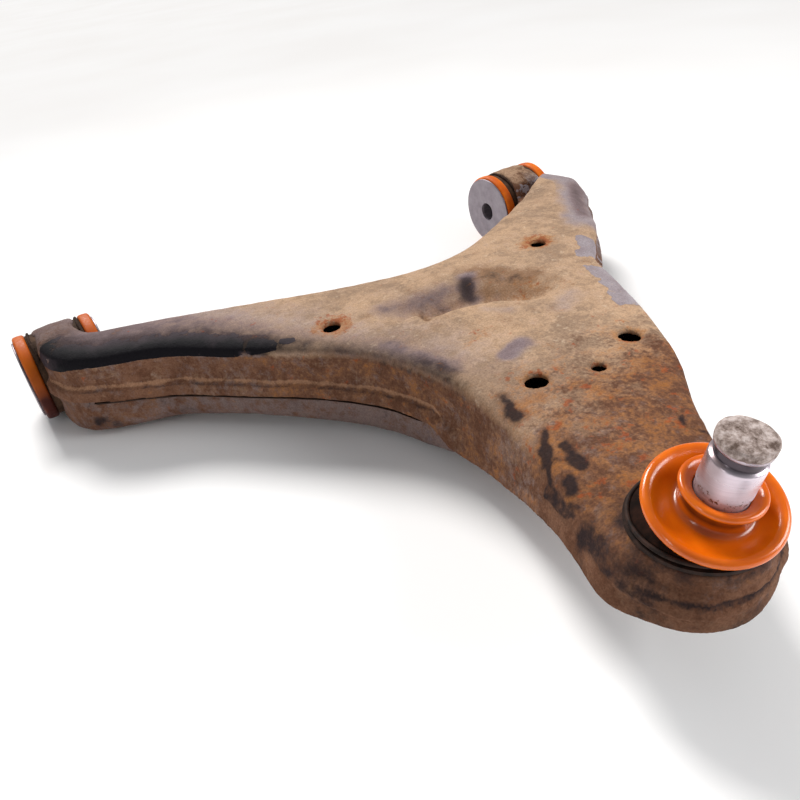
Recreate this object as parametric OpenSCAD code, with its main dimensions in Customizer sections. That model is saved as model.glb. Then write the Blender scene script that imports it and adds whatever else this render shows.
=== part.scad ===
// Lower control arm: two pressed shells round two bush eyes and a ball joint.
// Millimetres. Origin: centre of the front bush bore. +X runs along the hinge axis
// to the rear bush, +Z is up, and the ball joint lies towards -Y.

/* [Bushes] */
// Distance between the two bush centres
bush_spacing = 336; // [330:1:342]
// Length of a bush over its two end washers
bush_length = 46; // [44:0.5:50]
// Outer radius of the polyurethane flanges
flange_r = 25.5; // [25:0.1:26]
// Thickness of a steel end washer
washer_t = 1; // [0.8:0.1:1.5]
// Radius of the bore for the hinge bolt
bolt_bore_r = 6.3; // [6.1:0.1:6.5]
// Outer radius of the steel sleeve
sleeve_r = 10; // [9:0.5:11]

/* [Eyes] */
// Outer radius of the eye tube
eye_r = 24; // [23.5:0.1:24.2]
// Wall of the eye tube
eye_wall = 3.5; // [3:0.5:4]
// Length of the eye tube
eye_length = 30; // [29:0.5:30]

/* [Shells] */
// Thickness of the pressed sheet
sheet_t = 3; // [2.5:0.5:3]
// Outer radius of the rolled top edge
edge_r = 6; // [5:0.5:7]
// How far the skirt steps out over the lower shell
joggle = 3.2; // [3.2:0.1:3.5]
// Height of the skirt below the step
skirt_h = 7; // [6:0.5:8]

/* [Holes] */
// Radius of the two bolt holes near the ball joint
bolt_hole_r = 5.25; // [5:0.05:5.5]
// Distance between the two bolt holes
bolt_hole_pitch = 55; // [54:1:56]
// Radius of the two locating holes on the legs
locating_r = 4.75; // [4.5:0.05:5]
// Distance between the two locating holes
locating_pitch = 138; // [136:1:140]
// Radius of the small drain hole
drain_r = 3.4; // [3:0.1:4]

/* [Ball joint] */
// Centre of the ball
ball_at = [142, -327, 18];
// Radius of the ball
ball_r = 12.5; // [12.4:0.05:12.6]
// Radius of the stud's clamped shank
stud_r = 8.5; // [8.4:0.05:8.6]
// Height of the stud's top above the ball centre
stud_top = 51.5; // [50:0.5:53]
// Stored lean of the stud about X and about Y
stud_lean = [12, 2];
// Outer radius of the ball joint housing
housing_r = 20.5; // [20.3:0.1:20.7]
// Outer radius of the dust boot's saucer
boot_r = 21.6; // [21:0.1:22]

/* [Hidden] */
$fn = 96;

// Gap between fixed neighbours, and radial running clearance
gap = 0.05;
run_gap = 0.05;
// Larger than any size of the part
far = 500;

half_bush = bush_length / 2;
half_eye = eye_length / 2;
eye_in_r = eye_r - eye_wall;
top_z = eye_r + sheet_t;
strap_r = eye_r + sheet_t;
// Height where the two shells' straps meet behind the eye tubes
split_z = -1;
// Each strap's ends along the hinge axis, from its bush centre
front_strap = [-12.5, 13];
rear_strap = [-10, 14.5];
// Floor of the dip beside the rear strap, and the dip's edge seen from above
dip_z = 12;
dip_edge = [[276, -69], [352, -22]];

hole_mid_x = 188.5;
bolt_holes_y = -230;
locating_y = -121;
drain_at = [187, -240];

// The lower shell's wall: its place against the upper wall, and how far it laps up inside the skirt
lower_out = 0.2;
lap_h = 4.5;
floor_r = 6;

// Corner points of the arm's wall seen from above, joined by a smooth closed curve
wall_points = [
    [-12, 30], [-12, 0], [-12, -18], [-9.5, -32], [-2, -46], [14, -58], [43, -73], [72, -102],
    [103, -133], [121, -156], [131, -181], [136, -214], [133, -249], [125, -278.5], [118.5, -302],
    [113.5, -319], [117, -331], [124, -342], [136, -348], [150, -346.5], [162, -340.5], [170, -330],
    [176, -316], [187, -298], [202, -277], [220, -256], [232, -236.5], [245.5, -211], [258, -183],
    [272, -153], [295, -131], [317, -107], [335, -83.5], [350.5, -66], [355, -50], [353.5, -37],
    [350.5, -24], [350.5, 0], [350.5, 30], [326, 30], [326, 0], [324, -24], [308, -47.5], [284, -60.5],
    [256.5, -76], [222.5, -90], [188, -91], [150, -79], [110, -61], [70, -42], [38, -28],
    [19, -20], [13, -6], [13, 8], [13, 30]];
curve_steps = 2;

// Height of the lower shell's floor at the ball joint
tip_floor_z = 9.5;
// Height of the skirt's lower edge and of the lower shell's floor, against Y
skirt_line = [[40, -1], [-58, -1], [-72, -3], [-128, -3], [-150, -4.5], [-190, -4.5], [-202, -12.5],
    [-214, -12], [-249, -5.5], [-278, 5], [-292, 8], [-380, 8]];
floor_line = [[40, -27], [-26, -26.5], [-44, -24.5], [-57, -22.5], [-73, -20.5], [-102, -19], [-133, -22],
    [-156, -24], [-181, -24], [-202, -20], [-222, -11.5], [-252, -3.5], [-292, tip_floor_z],
    [-380, tip_floor_z]];

// Ball joint heights, measured from the ball centre along the housing's axis
cover_z = -16;
lip_z = tip_floor_z - ball_at[2] - gap;
circlip_z = top_z + 2.1 - ball_at[2];
circlip_t = 1.4;
neck_top_z = 14.8;
bead_z = 12.7;
// Heights along the stud, from the ball centre, and the rim's own lean against the stud
groove_z = 43;
groove_w = 4.5;
neck_r = 6.3;
ring_z = 23.5;
seal_r = stud_r - 0.3;
seal_top_z = 30.3;
ring_out_r = seal_r + 2;
rim_z = 22.3;
rim_lean = [5, -8];

function lerp_line(line, y, i = 0) =
    i > len(line) - 2 ? line[len(line) - 1][1] :
    y >= line[i + 1][0] ?
        line[i][1] + (line[i + 1][1] - line[i][1]) * (y - line[i][0]) / (line[i + 1][0] - line[i][0]) :
        lerp_line(line, y, i + 1);

function spline(p0, p1, p2, p3, t) =
    0.5 * (2 * p1 + (p2 - p0) * t + (2 * p0 - 5 * p1 + 4 * p2 - p3) * t * t
    + (3 * p1 - p0 - 3 * p2 + p3) * t * t * t);

function smooth_loop(p, steps) = let (n = len(p))
    [for (i = [0 : n - 1]) for (s = [0 : steps - 1])
        spline(p[(i + n - 1) % n], p[i], p[(i + 1) % n], p[(i + 2) % n], s / steps)];

function outward(p, i) = let (n = len(p), d = p[(i + 1) % n] - p[(i + n - 1) % n])
    [-d[1], d[0]] / -norm(d);

function arc(at, r, a0, a1, n) = [for (i = [0 : n]) let (a = a0 + (a1 - a0) * i / n)
    at + r * [cos(a), sin(a)]];

wall = smooth_loop(wall_points, curve_steps);
wall_n = [for (i = [0 : len(wall) - 1]) outward(wall, i)];

// The wall's point i moved outwards by d, at height z, or at z above a line in Y
function wall_at(i, d, z, line = []) = let (q = wall[i] + d * wall_n[i])
    [q[0], q[1], len(line) > 0 ? lerp_line(line, wall[i][1]) + z : z];
function ring(d, z, line = []) = [for (i = [0 : len(wall) - 1]) wall_at(i, d, z, line)];

// Closed body through rings of points, from the top one down to the bottom one
module ring_body(rings) {
    n = len(rings[0]);
    m = len(rings);
    points = [for (r = rings) for (q = r) q];
    sides = [for (k = [0 : m - 2]) for (i = [0 : n - 1])
        each [[k * n + i, k * n + (i + 1) % n, (k + 1) * n + i],
              [k * n + (i + 1) % n, (k + 1) * n + (i + 1) % n, (k + 1) * n + i]]];
    top = [for (i = [n - 1 : -1 : 0]) i];
    bottom = [for (i = [0 : n - 1]) (m - 1) * n + i];
    polyhedron(points, concat([top], sides, [bottom]), convexity = 8);
}

// Makes a pressed sheet shape one mesh, from which the true holes are cut afterwards
module one_mesh() { resize([0, 0, 0]) children(); }

module at_rear() { translate([bush_spacing, 0, 0]) children(); }
module rod(r, x0, x1) { translate([x0, 0, 0]) rotate([0, 90, 0]) cylinder(r = r, h = x1 - x0); }
module turned(points) { rotate([0, 90, 0]) rotate_extrude() polygon(points); }
module at_ball() { translate(ball_at) children(); }
module at_stud() { translate(ball_at) rotate([stud_lean[0], stud_lean[1], 0]) children(); }
module at_rim() {
    at_stud() translate([-1.2, 0, rim_z]) rotate([rim_lean[0], rim_lean[1], 0]) children();
}
module upright(at, r) { translate([at[0], at[1], -60]) cylinder(r = r, h = 120); }
module behind_hinge() { translate([-far, 0, -far / 2]) cube([3 * far, far, far]); }

module bolt_holes() {
    for (side = [-1, 1])
        upright([hole_mid_x + side * bolt_hole_pitch / 2, bolt_holes_y], bolt_hole_r);
}
module tooling_holes() {
    for (side = [-1, 1])
        upright([hole_mid_x + side * locating_pitch / 2, locating_y], locating_r);
    upright(drain_at, drain_r);
}

// Room for the eye tubes, and for the flanges that turn beside the shells
module eye_room() {
    rod(eye_r + gap, -half_bush, half_bush);
    at_rear() rod(eye_r + gap, -half_bush, half_bush);
    for (x = [0, bush_spacing]) for (side = [-1, 1])
        translate([x + side * (half_eye + 10 - 0.4), 0, 0]) rod(flange_r + 1.5, -10, 10);
}

// Rod of the strap's radius between two ends, its shoulders rounded by two radii
module strap_rod(ends, r) {
    turned(concat([[0, ends[0]]], arc([strap_r - r[0], ends[0] + r[0]], r[0], -90, 0, 4),
        arc([strap_r - r[1], ends[1] - r[1]], r[1], 0, 90, 3), [[0, ends[1]]]));
}

// The shells' straps behind the eye tubes, between two heights
module straps(z0, z1) {
    intersection() {
        union() {
            strap_rod(front_strap, [5, 3]);
            at_rear() strap_rod(rear_strap, [2, 2]);
        }
        translate([-60, -0.5, z0]) cube([far, 60, z1 - z0]);
    }
}

// The dip behind the rear leg's top edge, where the sheet falls to the strap
module rear_dip(inset) {
    along = (dip_edge[1] - dip_edge[0]) / norm(dip_edge[1] - dip_edge[0]);
    shift = inset * [along[1], -along[0]];
    difference() {
        translate([0, 0, dip_z - inset])
            linear_extrude(40)
                polygon([dip_edge[0] + shift, dip_edge[1] + shift, [352 + inset, 60], [276, 60]]);
        at_rear() rod(strap_r - inset, -60, 60);
    }
}

// Everything below a line in Y and Z, the same all along X
module below_line(line, drop) {
    last = line[len(line) - 1];
    translate([-far / 2, 0, 0])
        rotate([90, 0, 90])
            linear_extrude(2 * far)
                polygon(concat([for (q = line) [q[0], q[1] + drop]], [[last[0], -80], [line[0][0], -80]]));
}

module upper_outer() {
    rolled = [for (a = [0, 45, 90]) ring(edge_r * (sin(a) - 1), top_z - edge_r * (1 - cos(a)))];
    difference() {
        ring_body(concat(rolled, [ring(0.3, skirt_h + 3, skirt_line),
            ring(joggle + 0.3, skirt_h, skirt_line), ring(joggle + 0.8, -1, skirt_line),
            ring(joggle + 0.8, -40)]));
        rear_dip(0);
    }
}

module upper_inner() {
    r = edge_r - sheet_t;
    out = joggle - sheet_t;
    rolled = [for (a = [0, 90]) ring(r * sin(a) - edge_r, top_z - edge_r + r * cos(a))];
    difference() {
        ring_body(concat(rolled, [ring(0.3 - sheet_t, skirt_h + 2, skirt_line),
            ring(out + 0.3, skirt_h - 1, skirt_line), ring(out + 0.8, -1, skirt_line),
            ring(out + 0.8, -40)]));
        rear_dip(sheet_t);
    }
}

// Pressed upper shell: top plate, rolled edge, walls and the skirt that laps over the lower shell
module upper_shell() {
    color("tan") difference() {
        one_mesh() difference() {
            union() {
                difference() {
                    upper_outer();
                    upper_inner();
                    behind_hinge();
                    below_line(skirt_line, 0);
                }
                straps(split_z, 40);
                translate([ball_at[0], ball_at[1], top_z - 9])
                    cylinder(r1 = housing_r + 3.4, r2 = housing_r + 2.2, h = 11);
            }
            eye_room();
        }
        bolt_holes();
        tooling_holes();
        upright(ball_at, housing_r + gap);
    }
}

module lower_body(inset) {
    r = floor_r - inset;
    out = lower_out - inset;
    rolled = [for (a = [0 : 45 : 90])
        ring(out - r * (1 - cos(a)), r * (1 - sin(a)) + inset, floor_line)];
    difference() {
        ring_body(concat([ring(out, lap_h + inset, skirt_line)], rolled, [ring(out - r, -40)]));
        below_line(floor_line, inset);
    }
}

// Pressed lower shell: a shallow channel whose walls stand inside the skirt
module lower_shell() {
    color("slategray") difference() {
        one_mesh() difference() {
            union() {
                difference() {
                    lower_body(0);
                    lower_body(sheet_t);
                    behind_hinge();
                }
                straps(-40, split_z - 0.2);
            }
            eye_room();
            upright(ball_at, housing_r + gap);
        }
        bolt_holes();
    }
}

module eye_tube() {
    difference() {
        rod(eye_r, -half_eye, half_eye);
        rod(eye_in_r, -half_bush, half_bush);
    }
}
module front_eye_tube() { color("dimgray") eye_tube(); }
module rear_eye_tube() { color("dimgray") at_rear() eye_tube(); }

// Fillet weld round the top of an eye tube, against a shell's side at x
module eye_weld(x, side) {
    size = 1.8;
    translate([x, 0, 0])
        difference() {
            turned([[eye_r + gap, side * gap], [eye_r + size, side * gap], [eye_r + gap, side * size]]);
            translate([-10, -far / 2, 10 - far]) cube([20, far, far]);
            translate([-10, -far - 18, -far / 2]) cube([20, far, far]);
        }
}
// Bead that closes the two straps behind an eye tube
module strap_weld(ends) {
    difference() {
        translate([0, strap_r, split_z - 0.1]) rod(1.8, ends[0] + 2, ends[1] - 2);
        rod(strap_r + gap, -far / 2, far / 2);
    }
}
module front_eye_welds() {
    color("dimgray") union() {
        eye_weld(front_strap[0], -1);
        eye_weld(front_strap[1], 1);
        strap_weld(front_strap);
    }
}
module rear_eye_welds() {
    color("dimgray") at_rear() union() {
        eye_weld(rear_strap[0], -1);
        strap_weld(rear_strap);
    }
}

// Weld bead in the corner under the skirt's edge, from wall point i0 to i1
module seam(i0, i1) {
    n = i1 - i0;
    points = [for (i = [i0 : i1]) each [wall_at(i, lower_out + gap, -gap, skirt_line),
        wall_at(i, joggle, -gap, skirt_line), wall_at(i, lower_out + gap, -2.6, skirt_line)]];
    sides = [for (k = [0 : n - 1]) for (j = [0 : 2]) let (a = 3 * k + j, b = 3 * k + (j + 1) % 3)
        each [[a, a + 3, b], [b, a + 3, b + 3]]];
    color("saddlebrown") polyhedron(points, concat([[0, 1, 2]], sides,
        [[3 * n + 2, 3 * n + 1, 3 * n]]), convexity = 8);
}
module front_side_seam() { seam(9, 20); }
module rear_side_seam() { seam(56, 66); }
module hinge_side_seam() { seam(85, 100); }

// One half of a bush: a spigot in the tube and a flange beside it, for side 1 or -1
module bush_half(side) {
    round_r = 2;
    x0 = half_eye + gap;
    x1 = half_bush - washer_t - 0.1;
    rim = concat(arc([flange_r - round_r, x0 + round_r], round_r, -90, 0, 6),
        arc([flange_r - round_r, x1 - round_r], round_r, 0, 90, 6));
    outline = concat([[sleeve_r + run_gap, 0.25], [eye_in_r - gap, 0.25], [eye_in_r - gap, x0]], rim,
        [[sleeve_r + run_gap, x1]]);
    color("darkorange") turned([for (q = outline) [q[0], side * q[1]]]);
}
module front_bush_outer_half() { bush_half(-1); }
module front_bush_inner_half() { bush_half(1); }
module rear_bush_inner_half() { at_rear() bush_half(-1); }
module rear_bush_outer_half() { at_rear() bush_half(1); }

module sleeve() {
    end = half_bush - washer_t;
    difference() {
        rod(sleeve_r, -end, end);
        rod(bolt_bore_r, -far, far);
    }
}
module washer(side) {
    x = side * (half_bush - washer_t / 2);
    difference() {
        rod(flange_r - 1, x - washer_t / 2, x + washer_t / 2);
        rod(bolt_bore_r, -far, far);
    }
}
module front_sleeve() { color("silver") sleeve(); }
module front_washer_outer() { color("gray") washer(-1); }
module front_washer_inner() { color("gray") washer(1); }
module rear_sleeve() { color("silver") at_rear() sleeve(); }
module rear_washer_inner() { color("gray") at_rear() washer(-1); }
module rear_washer_outer() { color("gray") at_rear() washer(1); }

// Steel cup of the ball joint, pressed up through both shells
module ball_housing() {
    roof_z = 6.6;
    groove_r = housing_r - 1;
    lip_r = housing_r + 1.2;
    outline = [[16.5, cover_z], [housing_r, cover_z], [housing_r, lip_z - 3.5], [lip_r, lip_z - 3.5],
        [lip_r, lip_z], [housing_r, lip_z], [housing_r, circlip_z - 0.1],
        [groove_r, circlip_z - 0.1], [groove_r, circlip_z + circlip_t + 0.1],
        [housing_r - 2, circlip_z + circlip_t + 0.1],
        [housing_r - 2, neck_top_z], [16.4, neck_top_z], [11.4, roof_z], [16.5, roof_z]];
    color("dimgray") at_ball() rotate_extrude() polygon(outline);
}

// Open snap ring that holds the housing down on the shell's collar
module housing_circlip() {
    inner_r = housing_r - 1 + gap;
    color("dimgray") at_ball() translate([0, 0, circlip_z]) difference() {
        cylinder(r = housing_r + 2.2, h = circlip_t);
        translate([0, 0, -1]) cylinder(r = inner_r, h = 4);
        rotate([0, 0, 60]) translate([0, -3, -1]) cube([40, 6, 4]);
    }
}

module upper_ball_seat() {
    color("ivory") at_ball() difference() {
        translate([0, 0, 0.05]) cylinder(r = 16.5 - gap, h = 6.5);
        sphere(r = ball_r + run_gap);
    }
}
module lower_ball_seat() {
    color("ivory") at_ball() difference() {
        translate([0, 0, -13]) cylinder(r = 16.5 - gap, h = 12.95);
        sphere(r = ball_r + run_gap);
    }
}
module bottom_cover() {
    color("dimgray") at_ball() translate([0, 0, cover_z]) cylinder(r = 16.5 - gap, h = 2.9);
}

module boot_clamp_ring() {
    wire_r = 0.8;
    color("black") at_ball()
        rotate_extrude() translate([housing_r + wire_r + gap, bead_z + 1]) circle(r = wire_r, $fn = 32);
}

// Dust boot: a bead round the housing's neck, a skirt up to the saucer's rim, and a collar on the stud
module dust_boot() {
    $fn = 64;
    bead_r = housing_r - 2 + gap;
    collar_out_r = 12.9;
    step_z = ring_z + 3.2;
    saucer = concat([[ring_out_r + 0.4, -2]], arc([boot_r - 1.8, 0], 1.8, -60, 110, 10),
        [[16, 0.1], [ring_out_r + 0.4, 0.4]]);
    collar = concat([[stud_r + 0.4, rim_z - 2], [collar_out_r, rim_z - 2]],
        arc([collar_out_r - 1.7, 28.1], 1.7, 0, 150, 6), [[stud_r + 0.4, step_z - 0.3]]);
    color("darkorange") one_mesh() difference() {
        union() {
            at_rim() rotate_extrude() polygon(saucer);
            at_stud() rotate_extrude() polygon(collar);
            at_ball() translate([0, 0, bead_z]) cylinder(r = housing_r, h = neck_top_z - bead_z + 0.3);
            hull() {
                at_ball() translate([0, 0, neck_top_z - 0.2]) cylinder(r = housing_r, h = 0.4, $fn = 32);
                at_rim() translate([0, 0, -0.6]) cylinder(r = boot_r - 1.2, h = 0.4, $fn = 32);
            }
        }
        at_ball() cylinder(r = bead_r, h = neck_top_z + 0.3);
        hull() {
            at_ball() translate([0, 0, neck_top_z - 0.2]) cylinder(r = bead_r, h = 0.4, $fn = 32);
            at_rim() translate([0, 0, -2.5]) cylinder(r = bead_r - 3, h = 0.4, $fn = 32);
        }
        at_stud() translate([0, 0, 10]) cylinder(r = ring_out_r + gap, h = step_z - 10);
    }
}

// Steel ring moulded in the boot's collar, in which the stud turns
module boot_collar_ring() {
    color("silver") at_stud() translate([0, 0, ring_z]) difference() {
        cylinder(r = ring_out_r, h = 3);
        translate([0, 0, -1]) cylinder(r = seal_r + run_gap, h = 5);
    }
}

// Ball stud: flattened ball, neck, clamped shank with the pinch bolt's groove, and head
module ball_stud() {
    foot_z = -11.6;
    foot_a = asin(foot_z / ball_r);
    neck_a = acos(neck_r / ball_r);
    chamfer = 0.8;
    outline = concat([[0, foot_z]], arc([0, 0], ball_r, foot_a, neck_a, 24),
        [[neck_r, 16.5], [seal_r, 23], [seal_r, seal_top_z], [stud_r, seal_top_z + 0.3],
        [stud_r, groove_z], [stud_r - 1.6, groove_z + 1],
        [stud_r - 1.6, groove_z + groove_w - 1], [stud_r, groove_z + groove_w],
        [stud_r, stud_top - chamfer], [stud_r - chamfer, stud_top], [0, stud_top]]);
    color("silver") at_stud() rotate_extrude() polygon(outline);
}

upper_shell();
lower_shell();
front_eye_tube();
rear_eye_tube();
front_eye_welds();
rear_eye_welds();
front_side_seam();
rear_side_seam();
hinge_side_seam();
front_bush_outer_half();
front_bush_inner_half();
rear_bush_inner_half();
rear_bush_outer_half();
front_sleeve();
front_washer_outer();
front_washer_inner();
rear_sleeve();
rear_washer_inner();
rear_washer_outer();
ball_housing();
housing_circlip();
upper_ball_seat();
lower_ball_seat();
bottom_cover();
boot_clamp_ring();
dust_boot();
boot_collar_ring();
ball_stud();
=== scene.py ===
import math
import bpy
import numpy as np
from mathutils import Matrix, Vector


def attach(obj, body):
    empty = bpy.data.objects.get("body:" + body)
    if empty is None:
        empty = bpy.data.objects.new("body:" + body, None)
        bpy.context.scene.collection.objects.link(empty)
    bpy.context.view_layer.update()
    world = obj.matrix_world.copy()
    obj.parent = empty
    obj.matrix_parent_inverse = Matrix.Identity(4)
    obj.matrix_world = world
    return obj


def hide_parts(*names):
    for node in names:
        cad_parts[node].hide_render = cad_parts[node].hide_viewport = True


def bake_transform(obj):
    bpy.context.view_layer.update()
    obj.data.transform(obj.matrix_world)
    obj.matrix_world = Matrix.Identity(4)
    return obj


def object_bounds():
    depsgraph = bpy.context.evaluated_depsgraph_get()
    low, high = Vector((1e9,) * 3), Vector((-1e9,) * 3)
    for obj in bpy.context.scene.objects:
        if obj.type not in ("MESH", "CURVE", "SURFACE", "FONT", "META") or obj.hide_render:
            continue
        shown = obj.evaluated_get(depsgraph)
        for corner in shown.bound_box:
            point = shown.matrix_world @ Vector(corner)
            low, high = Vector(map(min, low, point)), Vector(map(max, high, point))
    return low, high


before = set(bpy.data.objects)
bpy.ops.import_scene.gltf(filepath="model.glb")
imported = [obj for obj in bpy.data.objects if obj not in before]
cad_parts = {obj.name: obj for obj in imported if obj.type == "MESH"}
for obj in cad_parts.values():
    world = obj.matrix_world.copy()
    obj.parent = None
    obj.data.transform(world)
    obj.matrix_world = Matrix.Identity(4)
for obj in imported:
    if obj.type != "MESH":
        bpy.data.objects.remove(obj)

# Lower control arm, dressed for a render: rusty pressed shells, orange bushes and boot, worn ball stud.
# Shapes are worked out in millimetres and go to metres when a mesh is made.
scene = bpy.context.scene
cadBox = [list(corner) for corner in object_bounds()]
mm = 0.001


def toLinear(text):
    parts = [int(text[i:i + 2], 16) / 255 for i in (1, 3, 5)]
    return tuple(c / 12.92 if c <= 0.04045 else ((c + 0.055) / 1.055) ** 2.4 for c in parts) + (1.0,)


def perMm(size):
    return 1000.0 / size


def smoothStep(x, low, high):
    t = np.clip((np.asarray(x, float) - low) / (high - low), 0, 1)
    return t * t * (3 - 2 * t)


def bump(x, centre, width):
    return np.exp(-((np.asarray(x, float) - centre) / width) ** 2)


def softNoise(points, size, seed):
    # value noise between -1 and 1, with lumps about as wide as size
    table = np.random.RandomState(seed).uniform(-1, 1, 4096)
    p = np.asarray(points, float) / size
    base = np.floor(p).astype(np.int64)
    f = p - base
    f = f * f * (3 - 2 * f)
    total = np.zeros(len(p))
    for corner in range(8):
        step = np.array([(corner >> k) & 1 for k in range(3)])
        cell = base + step
        key = (cell[:, 0] * 73856093) ^ (cell[:, 1] * 19349663) ^ (cell[:, 2] * 83492791)
        weight = np.prod(np.where(step, f, 1 - f), axis=1)
        total += weight * table[key & 4095]
    return total


def roughNoise(points, size, seed, layers=3):
    total, share = np.zeros(len(points)), 0.0
    for k in range(layers):
        total += softNoise(points, size / 2 ** k, seed + 17 * k) / 1.8 ** k
        share += 1 / 1.8 ** k
    return total / share


outline = {
    "wallPoints": [
        (-12, 30), (-12, 0), (-12, -18), (-9.5, -32), (-2, -46), (14, -58), (43, -73), (72, -102),
        (103, -133), (121, -156), (131, -181), (136, -214), (133, -249), (125, -278.5), (118.5, -302),
        (113.5, -319), (117, -331), (124, -342), (136, -348), (150, -346.5), (162, -340.5), (170, -330),
        (176, -316), (187, -298), (202, -277), (220, -256), (232, -236.5), (245.5, -211), (258, -183),
        (272, -153), (295, -131), (317, -107), (335, -83.5), (350.5, -66), (355, -50), (353.5, -37),
        (350.5, -24), (350.5, 0), (350.5, 30), (326, 30), (326, 0), (324, -24), (308, -47.5), (284, -60.5),
        (256.5, -76), (222.5, -90), (188, -91), (150, -79), (110, -61), (70, -42), (38, -28),
        (19, -20), (13, -6), (13, 8), (13, 30)],
    "skirtLine": [(40, -1), (-58, -1), (-72, -3), (-128, -3), (-150, -4.5), (-190, -4.5), (-202, -12.5),
                  (-214, -12), (-249, -5.5), (-278, 5), (-292, 8), (-380, 8)],
    "ball": (142.0, -327.0, 18.0), "studLean": (12.0, 2.0),
    "rimLean": (5.0, -8.0), "rimMiddle": (-1.2, 0, 22.3),  # the boot's rim, seen from the stud
    "rearBushX": 336, "boltR": 5.25, "locatingR": 4.75,
    "holes": [(161.0, -230.0, 5.25), (216.0, -230.0, 5.25), (119.5, -121.0, 4.75), (257.5, -121.0, 4.75),
              (187.0, -240.0, 3.4)],
}


def splineLoop(points, steps):
    p = np.array(points, float)
    n, rows = len(p), []
    for i in range(n):
        p0, p1, p2, p3 = p[i - 1], p[i], p[(i + 1) % n], p[(i + 2) % n]
        for t in np.arange(steps) / steps:
            rows.append(0.5 * (2 * p1 + (p2 - p0) * t + (2 * p0 - 5 * p1 + 4 * p2 - p3) * t * t
                               + (3 * p1 - p0 - 3 * p2 + p3) * t ** 3))
    return np.array(rows)


def fieldOf(xy, loop, steps):
    # signed distance outside the loop, how far along the loop (in wall points), and the outward direction
    a, b = loop, np.roll(loop, -1, axis=0)
    ab = b - a
    lengths = (ab ** 2).sum(1)
    distance, along, away = np.empty(len(xy)), np.empty(len(xy)), np.empty((len(xy), 2))
    for start in range(0, len(xy), 20000):
        q = xy[start:start + 20000]
        ap = q[:, None, :] - a[None]
        t = np.clip((ap * ab).sum(2) / lengths, 0, 1)
        gap = ap - t[..., None] * ab
        d2 = (gap ** 2).sum(2)
        best = d2.argmin(1)
        rows = np.arange(len(q))
        side = ab[best]
        normal = np.stack([side[:, 1], -side[:, 0]], 1)
        normal /= np.linalg.norm(normal, axis=1)[:, None]
        flat = (gap[rows, best] * normal).sum(1)
        away[start:start + 20000] = normal
        distance[start:start + 20000] = np.sqrt(d2[rows, best]) * np.where(flat >= 0, 1, -1)
        along[start:start + 20000] = (best + t[rows, best]) / steps
    return distance, along, away


def skirtAt(y):
    line = np.array(outline["skirtLine"], float)[::-1]
    return np.interp(y, line[:, 0], line[:, 1])


def overRange(s, low, high, soft=0.6):
    return smoothStep(s, low - soft, low + soft) * (1 - smoothStep(s, high - soft, high + soft))


def newPiece(name, vertices, faces, material, smooth=True):
    mesh = bpy.data.meshes.new(name)
    mesh.from_pydata([tuple(v) for v in np.asarray(vertices, float) * mm], [], faces)
    mesh.validate()
    mesh.update()
    piece = bpy.data.objects.new(name, mesh)
    scene.collection.objects.link(piece)
    mesh.materials.append(material)
    if smooth:
        mesh.shade_smooth()
    return piece


def latheGrid(profile, turns, closed=True):
    # profile is a list of (radius, height) in order; a closed one joins its last point to its first
    rows = []
    for k in range(turns):
        a = 2 * math.pi * k / turns
        rows += [(r * math.cos(a), r * math.sin(a), z) for r, z in profile]
    n = len(profile)
    faces = []
    for k in range(turns):
        k2 = (k + 1) % turns
        for j in range(n if closed else n - 1):
            j2 = (j + 1) % n
            faces.append((k * n + j, k2 * n + j, k2 * n + j2, k * n + j2))
    return np.array(rows, float), faces


def roundedProfile(corners, spacing=0.6):
    # corners are (radius, height, rounding); the result is a dense closed profile with rounded corners
    pts = []
    n = len(corners)
    c = [np.array(q[:2], float) for q in corners]
    for i in range(n):
        prev, here, following, r = c[i - 1], c[i], c[(i + 1) % n], corners[i][2]
        u, v = prev - here, following - here
        lu, lv = np.linalg.norm(u), np.linalg.norm(v)
        u, v = u / lu, v / lv
        if r <= 0:
            pts.append(here)
            continue
        half = math.acos(max(-1, min(1, float(u @ v)))) / 2
        cut = min(r / math.tan(half), 0.49 * lu, 0.49 * lv)
        r = cut * math.tan(half)
        p0, p1 = here + u * cut, here + v * cut
        middle = here + (u + v) / np.linalg.norm(u + v) * (r / math.sin(half))
        a0 = math.atan2(*(p0 - middle)[::-1])
        a1 = math.atan2(*(p1 - middle)[::-1])
        turn = (a1 - a0 + math.pi) % (2 * math.pi) - math.pi
        steps = max(3, int(abs(turn) * r / spacing) + 2)
        pts += [middle + r * np.array([math.cos(a0 + turn * k / steps), math.sin(a0 + turn * k / steps)])
                for k in range(steps + 1)]
    dense = []
    for i in range(len(pts)):
        a, b = pts[i], pts[(i + 1) % len(pts)]
        count = max(1, int(np.linalg.norm(b - a) / (spacing * 2.5)))
        dense += [tuple(a + (b - a) * k / count) for k in range(count)]
    return dense


def axisX(vertices, x=0.0):
    # turns a lathe's height into a place along the hinge line
    v = np.asarray(vertices, float)
    return np.stack([v[:, 2] + x, v[:, 1], -v[:, 0]], 1)


ballAt = np.array(outline["ball"])


def leaning(aboutX, aboutY):
    # degrees about X first, then about Y
    return np.array(Matrix.Rotation(math.radians(aboutY), 3, "Y")
                    @ Matrix.Rotation(math.radians(aboutX), 3, "X"))


studTurn = leaning(*outline["studLean"])
rimTurn = studTurn @ leaning(*outline["rimLean"])


def onStud(vertices):
    return np.asarray(vertices, float) @ studTurn.T + ballAt


rimCentre = onStud([outline["rimMiddle"]])[0]


def onRim(vertices):
    return np.asarray(vertices, float) @ rimTurn.T + rimCentre


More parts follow.
